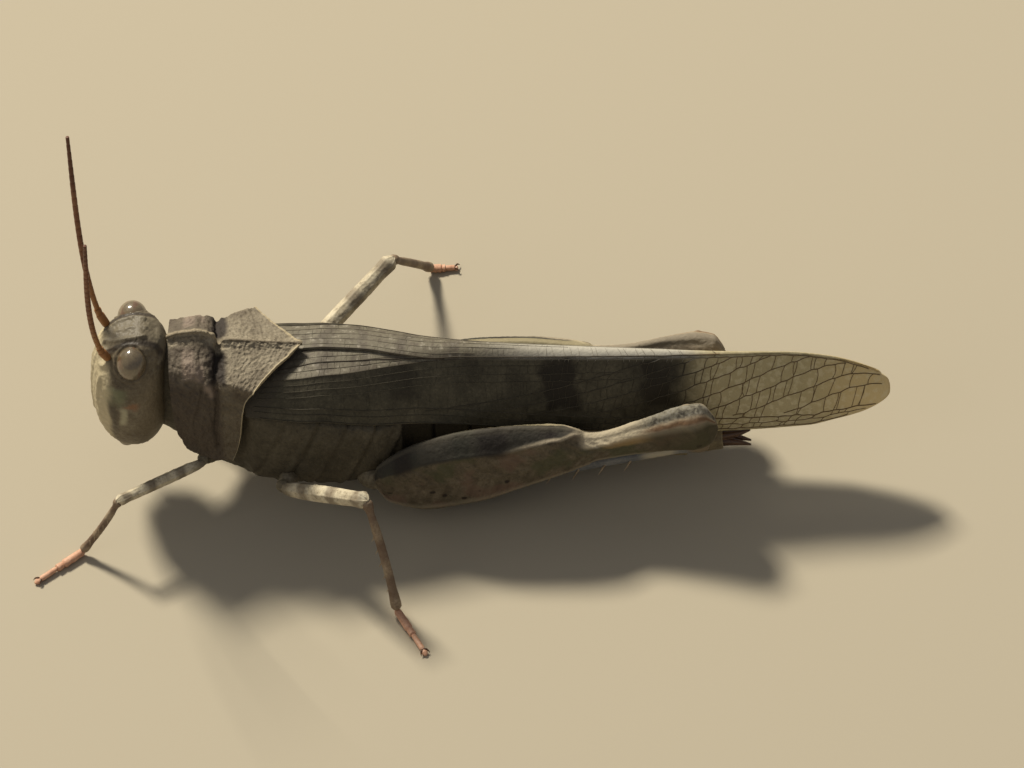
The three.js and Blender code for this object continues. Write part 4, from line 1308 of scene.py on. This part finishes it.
HIP_SIZES = {"front": (0.28, 0.6), "middle": (0.34, 0.7), "hind": (0.44, 0.1)}
for leg in legs:
    hip = hip_shape(leg, *HIP_SIZES[leg.split("_")[0]])
    build(f"hip_{leg}", hip, HIP_HORN, "shell", f"coxa_{leg}")


# %% The line of a foot, from its heel to its tip
def foot_line(leg):
    ankle, toe = legs[leg]["ankle"], legs[leg]["toe"]
    return np.array([ankle[0], ankle[1], 0.2]), np.array([toe[0], toe[1], 0.13])


# %% Thighs and shins of the walking legs
def walking_thigh(leg, thick):
    hip, knee = legs[leg]["hip"], legs[leg]["knee"]
    past = unit(knee - hip) * 0.12
    swell = along([0, 0.6], [0.1, 0.8], [0.35, 0.95], [0.7, 0.92], [0.86, 0.86], [0.94, 0.96], [1, 0.8])

    def relief(p, t, a):
        keels = sum(bump((a - centre + 0.5) % 1 - 0.5, 0.022) for centre in (0.07, 0.43, 0.25, 0.6, 0.9))
        return 0.022 * keels * step_up(t, 0.05, 0.15) + 0.012 * grain(p, 0.14, 2.0)

    return limb(hip - past, knee + past, 110, 56, girth(thick, 0.05, swell, (0.9, 1, 1)), relief)


def walking_shin(leg, thick):
    knee, ankle = legs[leg]["knee"], foot_line(leg)[0] + [0, 0, 0.04]
    start = knee - unit(ankle - knee) * 0.05
    swell = along([0, 1.15], [0.06, 1.2], [0.13, 0.82], [0.3, 0.95], [0.8, 0.95], [0.94, 1.2], [1, 1.0])
    half = girth(thick, 0.03, swell, (0.95, 1, 1))
    return limb(
        start, ankle, 90, 36, half, lambda p, t, a: 0.008 * grain(p, 0.1, 5.0),
        up=(1, 0, 0.1), bend=lambda t: 0.07 * np.sin(np.pi * t),
    )


WALKING_SIZES = {"front": (0.22, 0.145), "middle": (0.34, 0.17)}
walking_legs = [leg for leg in legs if not leg.startswith("hind")]
for leg in walking_legs:
    thigh_thick, shin_thick = WALKING_SIZES[leg.split("_")[0]]
    build(f"thigh_{leg}", walking_thigh(leg, thigh_thick), LEG_HORN, "leg", f"femur_{leg}")
    build(f"shin_{leg}", walking_shin(leg, shin_thick), SHIN_HORN, "leg", f"tibia_{leg}")

# %% [markdown]
# ## The jumping legs
# A hind thigh is a deep blade that holds the jumping muscle. Seen from outside it has three zones: a
# narrow field above, slanting in to the top keel, a broad middle field with a herringbone of low ridges,
# and a narrow rounded field below. Sharp lines part them. In this species the top keel drops in a step a
# little past its middle. The shin folds forward into the shelter of the thigh.

# %% Sizes of the hind thigh, along its length
THIGH_STEP = 0.605
thigh_top = {
    -1: along(
        [0, 0.5], [0.05, 1.0], [0.14, 1.55], [0.28, 1.83], [0.42, 1.7], [0.49, 1.48], [0.55, 1.25],
        [0.58, 1.08], [THIGH_STEP, 0.86], [0.622, 0.62], [0.66, 0.5], [0.7, 0.55], [0.74, 0.68],
        [0.84, 0.98], [0.9, 1.18], [0.96, 1.2], [1, 0.7],
    ),
    1: along(
        [0, 0.44], [0.05, 0.87], [0.14, 1.35], [0.28, 1.6], [0.42, 1.48], [0.55, 1.12], [THIGH_STEP, 0.96],
        [0.622, 0.8], [0.7, 0.76], [0.84, 1.02], [0.9, 1.08], [0.97, 0.87], [1, 0.52],
    ),
}
thigh_bottom = along(
    [0, 0.6], [0.03, 1.15], [0.07, 1.6], [0.14, 1.95], [0.28, 1.88], [0.42, 1.4], [0.55, 0.94],
    [0.66, 0.6], [0.82, 0.62], [0.93, 0.85], [1, 0.5],
)
thigh_half = along(
    [0, 0.4], [0.12, 0.66], [0.3, 0.76], [0.5, 0.68], [0.6, 0.56], [0.65, 0.44], [0.72, 0.44], [0.82, 0.52],
    [0.94, 0.66], [1, 0.42],
)
upper_line = along(
    [0, 0.6], [0.11, 0.74], [0.2, 0.68], [0.31, 0.65], [0.395, 0.63], [0.49, 0.73], [0.55, 0.8], [0.58, 0.89],
    [THIGH_STEP, 0.96], [1, 0.98],
)
section_width = along(
    [-1, 0], [-0.985, 0.2], [-0.9, 0.42], [-0.64, 0.84], [-0.3, 1], [0.3, 1], [0.62, 0.86], [0.7, 0.78],
    [0.985, 0.12], [1, 0],
)
LOWER_LINE = -0.66
HERRINGBONE = 0.5  # millimetres between its ridges
RIDGE_SLANT = 0.9


# %% The hind thigh
def jumping_thigh(leg, side):
    hip, knee = legs[leg]["hip"], legs[leg]["knee"]
    span = np.linalg.norm(knee - hip)
    axis = unit(knee - hip)
    across = unit(np.cross((0, 0, 1), axis))
    rise = np.cross(axis, across)

    def place(t, a):
        share = lerp(0.004, 0.996, t)
        level = np.sin(TAU * a)
        facing = np.sign(np.cos(TAU * a))
        width = thigh_half(share) * section_width(level) * np.where(facing == side, 1.0, 0.85)
        height = level * np.where(level > 0, thigh_top[side](share), thigh_bottom(share))
        y = width * tapered(share, 0.03) * facing
        height = height * tapered(share, 0.02)
        point = hip + axis * (t * span)[..., None] + y[..., None] * across + height[..., None] * rise
        return split(point)

    def relief(p, t, a):
        level = np.sin(TAU * a)
        outer = step_up(side * np.cos(TAU * a), -0.05, 0.1)
        line = upper_line(t)
        height = 0.06 * bump(level - line, 0.06) * step_up(0.97 - t, 0, 0.05) * step_up(t, 0.1, 0.3)
        height += 0.045 * bump(level - LOWER_LINE, 0.06) * step_up(0.9 - t, 0, 0.1)
        height += 0.02 * bump(level - 1, 0.02) * step_up(0.9 - t, 0, 0.1)
        inside = step_up(line - 0.08 - level, 0, 0.12) * step_up(level - LOWER_LINE - 0.08, 0, 0.12)
        from_spine = level - (line + LOWER_LINE) / 2
        ribs = np.cos(TAU * (t * span + np.abs(from_spine) * RIDGE_SLANT) / HERRINGBONE)
        field = inside * step_up(t, 0.06, 0.14) * step_up(0.74 - t, 0, 0.08)
        height += outer * field * (0.02 * ribs - 0.02 + 0.03 * bump(from_spine, 0.05))
        knee_arc = np.hypot((t - 0.9) * span, (level - 0.1) * 0.8)
        height += 0.05 * bump(knee_arc - 0.55, 0.1) * step_up(t, 0.9, 0.93)
        height -= 0.05 * bump(t - 0.86, 0.006) * step_up(0.5 - np.abs(level), 0, 0.3)
        height += 0.012 * grain(p, 0.2, 8.0) + 0.008 * grain(p, 0.08, 9.0)
        return height

    return loft(240, 150, place, relief)


# %% The hind thigh's own measures: its level, its upper line, its ridges and which way a face looks
THIGH_SPAN = 12.3  # millimetres from hip to knee, for the pattern of the ridges

horn = Finish(
    "thigh_horn", 0.75, 0.2, (0.11, 0.088, 0.057), (0.2, 0.163, 0.112), (0.036, 0.029, 0.017),
    0.6, 0.11, 0.6, 0.6,
)
y, share = horn.measures["y"], horn.measures["share"]
turn = horn.times(horn.measures["turn"], float(TAU))
level = horn.maths("SINE", turn)
facing_out = horn.times(horn.maths("COSINE", turn), y)
along_rib = horn.times(share, THIGH_SPAN)
along_rib = horn.maths("MULTIPLY_ADD", horn.maths("ABSOLUTE", level), RIDGE_SLANT, along_rib)
line_rise = horn.between(share, 0.38, 0.56, 0.64, 0.82)
line_rise = horn.maths("ADD", line_rise, horn.between(share, 0.55, 0.61, 0.0, 0.15))
horn.measures.update({
    "level": level,
    "facing out": horn.maths("SUBTRACT", facing_out, horn.between(y, -0.5, 0.5, -1.0, 1.3)),
    "ridge": horn.maths("SINE", horn.times(along_rib, float(TAU) / HERRINGBONE)),
    "above line": horn.maths("SUBTRACT", level, line_rise),
    "hue": horn.clouds(horn.position, 0.7),
    "spots": horn.clouds(horn.position, 6.0),
    "dots": horn.cells(horn.position, 1.5),
})

# %% The hind thigh's colours: warm mottled sides, a grey field above darkened with painted shade, painted light along the top, a pale lower edge and a rusty knee
at_knee = horn.mask("share", 0.76, 0.84)
upper = horn.mask("above line", -0.2, 0.0)
inner = horn.mask("facing out", 0.2, -0.2)
grey_top = horn.times(at_knee, horn.mask("level", 0.82, 0.9))
horn.paint((0.035, 0.026, 0.016), 0.2, ("level", 0.0, 0.55, 0.1, 0.05), ("ridge", 0.2, 0.9))
horn.paint((0.06, 0.064, 0.03), 0.6, ("hue", 0.52, 0.64))
horn.paint((0.14, 0.085, 0.062), 0.5, ("hue", 0.46, 0.36))
# The upper field is dark grey: its own grey, darkened further as painted shade where the wings overhang it.
horn.paint((0.034, 0.033, 0.028), 0.85, ("above line", -0.05, 0.05))
for centre, half in ((0.1, 0.03), (0.37, 0.04), (0.53, 0.015), (0.68, 0.025), (0.8, 0.015)):
    horn.paint((0.022, 0.018, 0.016), 0.75, ("share", centre, half, 0.018, 0.02), upper)
# A pale line just above the upper line, from a third to half way along: a painted highlight where the keel
# catches the light.
horn.paint((0.44, 0.37, 0.26), 0.8, ("above line", 0.0, 0.03, 0.03, 0.02), ("share", 0.36, 0.54))
# Behind the step the upper part is painted pale: painted light where the lamp reaches the thigh past the
# wings.
horn.paint((0.62, 0.53, 0.37), 0.75, ("share", 0.6, 0.63), ("level", 0.4, 0.7))  # behind the step
horn.paint((0.28, 0.235, 0.16), 0.5, ("level", -0.5, -0.66))
horn.paint((0.018, 0.012, 0.009), 0.9, ("dots", 0.22, 0.13), ("level", -0.36, 0.2, 0.05, 0.02))
horn.paint((0.34, 0.22, 0.09), 0.6, ("share", 0.74, 0.06, 0.04, 0.02), ("level", 0.48, 0.2, 0.12, 0.05))
horn.paint((0.17, 0.16, 0.125), 0.85, grey_top)
horn.paint((0.06, 0.052, 0.044), 0.7, grey_top, ("spots", 0.52, 0.6))
horn.paint((0.3, 0.28, 0.235), 0.7, grey_top, ("spots", 0.46, 0.38))
horn.paint((0.135, 0.062, 0.024), 0.85, at_knee, ("level", 0.75, 0.08, 0.07, 0.05))  # the rusty streak
horn.paint((0.06, 0.05, 0.026), 0.6, at_knee, ("level", 0.71, 0.62))
horn.paint((0.12, 0.105, 0.075), 0.3, ("level", 0.93, 0.98))
# The inner face, and on the far thigh also the top of its outer face, is painted pale cream: painted light on
# the far thigh's top, which the lamp leaves in shade. At the knee a darker tint goes over it.
horn.paint((0.4, 0.34, 0.2), 0.6, inner, ("share", 0.0, 0.05))
horn.paint((0.17, 0.14, 0.12), 0.6, inner, ("share", 0.6, 0.64))
THIGH_HORN = horn.done(0.014)

for name, side in SIDES.items():
    leg = f"hind_{name}"
    build(f"thigh_{leg}", jumping_thigh(leg, side), THIGH_HORN, "leg", f"femur_{leg}")


# %% The hind shin
def folded_shin(leg):
    start, ankle = legs[leg]["shin_top"], foot_line(leg)[0] + [0, 0, 0.08]
    swell = along(
        [0, 1.0], [0.03, 1.25], [0.08, 1.0], [0.12, 0.86], [0.5, 0.85], [0.9, 0.92], [0.97, 1.1], [1, 0.95],
    )
    half = girth(0.27, 0.012, swell, (0.9, 1, 1))
    end = ankle + unit(ankle - start) * 0.05
    return limb(start, end, 150, 48, half, lambda p, t, a: 0.008 * grain(p, 0.12, 4.0))


def shin_spines(leg):
    """Two rows of spines along the shin, and two pairs of spurs at its end."""
    start, ankle = legs[leg]["shin_top"], legs[leg]["ankle"]
    axis = unit(ankle - start)
    plan = []
    for row, count in ((-1, 9), (1, 10)):
        out = np.array([0, 0.8 * row, -0.55])
        for share in np.linspace(0.26, 0.95, count):
            place = lerp(start, ankle, share) + out * 0.2
            plan.append((place, unit(out) + 0.75 * axis, [0.085, 0.085, 0.48]))
    for row in (-1, 1):
        for spread in (0.35, 0.9):
            way = axis + np.array([0, spread * row, 0.12])
            plan.append((ankle + np.array([0, 0.16 * row, -0.04]), way, [0.085, 0.085, 0.42]))
    return plan


for name in SIDES:
    leg = f"hind_{name}"
    build(f"shin_{leg}", folded_shin(leg), BLUE_SHIN_HORN, "shin", f"tibia_{leg}")
    keep(plant(f"shin_spines_{leg}", spine_shape, shin_spines(leg), SPINE_HORN), "shin")

# %% [markdown]
# ## Feet
# A grasshopper's foot has three joints: a long one with three pads under it, a tiny one, and a slim one
# that ends in two curved claws with a soft pad between them. The pads lie flat on the ground.

# %% Feet
def foot_shape(leg):
    """The foot's shape, the root of its claws, and its directions across and along."""
    heel, tip = foot_line(leg)
    way = unit(tip - heel)
    reach = way * np.linalg.norm(tip - heel)

    def joint(first, last, thick, pads):
        def half(t):
            size = thick * tapered(t, 0.16) * lerp(0.92, 1.06, t)
            padded = 1 + 0.4 * np.abs(np.sin(np.pi * pads * t))
            return size, size * 0.85, size * padded

        return limb(heel + reach * first, heel + reach * last, 44, 28, half)

    shapes = [joint(-0.06, 0.46, 0.15, 3), joint(0.41, 0.56, 0.135, 1), joint(0.52, 0.93, 0.1, 1)]
    pad_half = girth(0.11, 0.5, shape=(1.15, 0.7, 1))
    shapes.append(limb(heel + reach * 0.88, heel + reach * 1.02 - [0, 0, 0.05], 20, 24, pad_half))
    return joined(*shapes), heel + reach * 0.9 + [0, 0, 0.02], unit(np.cross((0, 0, 1), way)), way


def claw_shape(root, across, way, row):
    """One claw: a loft along a curve that leaves the foot sideways and turns down, sharp at its end."""
    def place(t, a):
        thick = 0.045 * (1 - t) ** 0.7 + 0.004
        out = (0.045 + 0.13 * np.sin(1.35 * t)) * row + thick * np.cos(TAU * a)
        rise = 0.04 * np.sin(np.pi * t) - 0.09 * t**2 + thick * np.sin(TAU * a)
        x, y, z = split(root + (0.2 * t)[..., None] * way + out[..., None] * across)
        return x, y, np.maximum(z + rise, 0.006)

    return loft(16, 12, place)


for leg in legs:
    foot, *where = foot_shape(leg)
    build(f"foot_{leg}", foot, FOOT_HORN, "foot", f"tarsus_{leg}")
    build(f"claws_{leg}", joined(*(claw_shape(*where, row) for row in (-1, 1))), CLAW_HORN, "foot")


# %% Spines under the walking legs' shins
def walking_spines(leg):
    knee, ankle = legs[leg]["knee"], legs[leg]["ankle"]
    axis = unit(ankle - knee)
    level = unit(np.cross(axis, (0, 0, 1)))
    under = np.cross(axis, level)
    under *= -np.sign(under[2]) or 1
    plan = []
    for row in (-1, 1):
        out = 0.75 * row * level + 0.5 * under
        for share in np.linspace(0.35, 0.95, 6):
            plan.append((lerp(knee, ankle, share) + out * 0.12, out + 1.1 * axis, [0.05, 0.05, 0.22]))
    return plan


for leg in walking_legs:
    keep(plant(f"shin_spines_{leg}", spine_shape, walking_spines(leg), SPINE_HORN), "leg")

# %% [markdown]
# ## Antennae
# Each antenna grows from a cup beside the face ridge: a thick first joint, a shorter second one, and then
# a string of about two dozen beads that narrows towards its tip. A slight curve keeps it from looking
# like a stick. The beads are set along the curve by the same tree as the spines.

# %% Antennae
antenna_colours = (0.17, 0.062, 0.026), (0.3, 0.16, 0.07), (0.05, 0.02, 0.012)
antenna_layers = [
    ((0.33, 0.15, 0.045), 0.75, ("z", 10.6, 8.2)),
    ((0.085, 0.03, 0.016), 0.7, ("z", 13.4, 14.4)),
]
antenna_values = ("antenna_horn", 0.5, 0.4, *antenna_colours, 0.6, 0.08, 0.45, 0.5)
ANTENNA_HORN = painted(antenna_values, 0.006, antenna_layers)
BEADS = 23
ANTENNA_BEND = 0.35  # how far an antenna bows towards the front, in millimetres
bead_thickness = along([0, 0.2], [0.3, 0.22], [0.7, 0.205], [1, 0.14])


def antenna_plan(name):
    root, tip = limb_ends(f"antenna_{name}", eye_centre * [1, SIDES[name], 1])
    root = root + unit(root - tip) * 0.1
    bow = np.cross(unit(tip - root), (0, 1, 0))
    bow *= -np.sign(bow[0])

    def on_curve(share):
        return lerp(root, tip, share) + bow * ANTENNA_BEND * np.sin(np.pi * share**0.62)

    shares = np.r_[0, 0.06, 0.09, np.linspace(0.09, 1, BEADS + 1)[1:]]
    plan = []
    for k, (low, high) in enumerate(zip(shares[:-1], shares[1:])):
        start, end = on_curve(low), on_curve(high)
        thick = (0.32, 0.27)[k] if k < 2 else float(bead_thickness(high))
        plan.append(((start + end) / 2, end - start, [thick, thick, np.linalg.norm(end - start) * 1.04]))
    return plan


for name in SIDES:
    beads = plant(f"antenna_beads_{name}", bead_shape, antenna_plan(name), ANTENNA_HORN)
    keep(beads, "feeler", f"antenna_{name}")

# %% [markdown]
# ## The mouth
# A broad upper lip hangs in front of the mouth like a curtain. Behind it two jaws meet, their cutting
# edges nearly black, and beside them hang two pairs of jointed feelers with which the animal tastes.

# %% Upper lip, jaws and feelers of the mouth
def chain(side, points, thicks):
    """A string of rounded joints through points of one side, each as thick as its number says."""
    points = np.array(points) * [1, side, 1]
    shapes = []
    for start, end, thick in zip(points[:-1], points[1:], thicks):
        half = girth(thick, 0.2, lambda t: lerp(0.78, 1.0, t))
        shapes.append(limb(start, end + (end - start) * 0.12, 22, 20, half))
    return joined(*shapes)


def lip_relief(p, t, a):
    return -0.03 * bump(p[..., 1], 0.07) * step_up(t, 0.4, 0.9) + 0.008 * grain(p, 0.12, 3.0)


def jaw_half(t):
    edge = tapered(t, 0.35)
    return 0.46 * edge * lerp(1, 0.75, t), 0.34 * edge, 0.4 * edge


lip_half = girth(1, 0.25, shape=(0.62, 0.2, 0.16))
lip = limb([0.36, 0, 3.72], [0.76, 0, 2.6], 50, 60, lip_half, lip_relief, up=(-1, 0, 0))
build("upper_lip", lip, HEAD_HORN, "face", "labrum")
long_feeler = [
    [2.05, 0.74, 3.2], [1.98, 0.75, 2.85], [1.88, 0.72, 2.62], [1.7, 0.65, 2.46], [1.52, 0.58, 2.36],
]
short_feeler = [[2.0, 0.66, 2.95], [1.9, 0.52, 2.6], [1.76, 0.4, 2.34]]

for name, side in SIDES.items():
    jaw = limb([1.2, side * 0.92, 3.45], [1.2, side * 0.5, 2.42], 40, 40, jaw_half, up=(-1, 0, 0))
    build(f"jaw_{name}", jaw, JAW_HORN, "face", f"mandible_{name}")
    feelers = chain(side, long_feeler, (0.16, 0.13, 0.12, 0.13)), chain(side, short_feeler, (0.13, 0.13))
    build(f"mouth_feelers_{name}", joined(*feelers), JAW_HORN, "foot", f"palps_{name}")

# %% [markdown]
# ## The egg-layer
# Two short pairs of hooked horny valves close the end of the abdomen. With them the female digs her eggs
# into the soil. Their tips are dark and curve apart.

# %% Egg-layer
valve_box = from_frame(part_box("ovipositor"))
valve_start, valve_end = valve_box[0, 0] - 0.25, valve_box[1, 0]


def valve(side, row):
    def place(t, a):
        thick = 0.2 * (1 - 0.82 * t**1.6) + 0.004
        y = side * 0.15 * (1 - 0.3 * t) + thick * 0.8 * np.cos(TAU * a)
        z = 1.21 + row * (0.15 + 0.27 * t**2) + thick * np.sin(TAU * a)
        return lerp(valve_start, valve_end, t), y, z

    return loft(30, 24, place)


valves = joined(*(valve(side, row) for side in (-1, 1) for row in (-1, 1)))
build("egg_layer", valves, CLAW_HORN, "belly", "ovipositor")

for shape in (spine_shape, bead_shape):
    bpy.data.objects.remove(shape)

# %% [markdown]
# ## Camera, floor and light
# The camera stands well off with a very long lens, as one watches a wary insect, above the
# animal's left side and turned a few degrees. The floor is plain and pale. One soft lamp stands high on
# the far side ahead of the animal, so the back and the top of each leg are lit and the near side lies in
# soft shade. A wide, weak lamp on the near side and the room fill that shade a little.

# %% Camera
VIEW_TURN = np.radians(3.5)
VIEW_HEIGHT = np.radians(50)
VIEW_ROLL = np.radians(4)
VIEW_DISTANCE = 1.2
VIEW_WIDTH = 0.03724  # the width of the field at the animal
VIEW_CENTRE = (15.3, 0.0, 4.41)  # millimetres from the face

along_body = np.array([np.cos(VIEW_TURN), np.sin(VIEW_TURN), 0.0])
across_body = np.array([-np.sin(VIEW_TURN), np.cos(VIEW_TURN), 0.0])
upward = across_body * np.sin(VIEW_HEIGHT) + [0, 0, np.cos(VIEW_HEIGHT)]
right = along_body * np.cos(VIEW_ROLL) - upward * np.sin(VIEW_ROLL)
up = along_body * np.sin(VIEW_ROLL) + upward * np.cos(VIEW_ROLL)
back = np.cross(right, up)

lens = bpy.data.cameras.new("camera")
lens.sensor_width = 36.0
lens.lens = lens.sensor_width * VIEW_DISTANCE / VIEW_WIDTH
lens.clip_start = 0.01
camera = link("camera", lens)
turned = Matrix(np.array([right, up, back]).T.tolist()).to_4x4()
camera.matrix_world = Matrix.Translation(to_frame(VIEW_CENTRE) + back * VIEW_DISTANCE) @ turned
bpy.context.scene.camera = camera
print("lens:", round(lens.lens), "mm")

# %% Floor
FLOOR_HALF = 0.6  # half its width, in metres

corners = [(FLOOR_HALF * x, FLOOR_HALF * y, 0) for x, y in ((-1, -1), (1, -1), (1, 1), (-1, 1))]
floor_mesh = bpy.data.meshes.new("floor")
floor_mesh.from_pydata(corners, [], [(0, 1, 2, 3)])
plain = bpy.data.materials.new("floor_paint")
plain.use_nodes = True
plain_inputs = plain.node_tree.nodes["Principled BSDF"].inputs
plain_inputs["Base Color"].default_value = colour(0.42, 0.37, 0.275)
plain_inputs["Roughness"].default_value = 0.9
floor_mesh.materials.append(plain)
link("floor", floor_mesh)


# %% Light
def lamp(name, towards, distance, size, power, tint):
    """A square soft lamp that shines on the animal from a direction."""
    light = bpy.data.lights.new(name, "AREA")
    light.size = size
    light.energy = power
    light.color = tint
    holder = link(name, light)
    away = Vector(towards).normalized()
    holder.location = away * distance
    holder.rotation_euler = away.to_track_quat("Z", "Y").to_euler()
    return holder


lamp("key_lamp", (-0.5, 0.75, 1.0), 0.6, 0.1, 5.4, (1.0, 0.93, 0.79))
fill = lamp("fill_lamp", (-1.0, -0.8, 0.9), 0.7, 0.4, 0.5, (1.0, 0.97, 0.92))
fill.visible_glossy = False  # each eye mirrors one lamp only
room = bpy.data.worlds.new("room")
room.use_nodes = True
room_inputs = room.node_tree.nodes["Background"].inputs
room_inputs["Color"].default_value = colour(0.95, 0.95, 1.0)
room_inputs["Strength"].default_value = 0.22
bpy.context.scene.world = room
bpy.context.scene.view_settings.view_transform = "Standard"

# %% Print the number of triangles and finish
print("triangles in all:", sum(made))
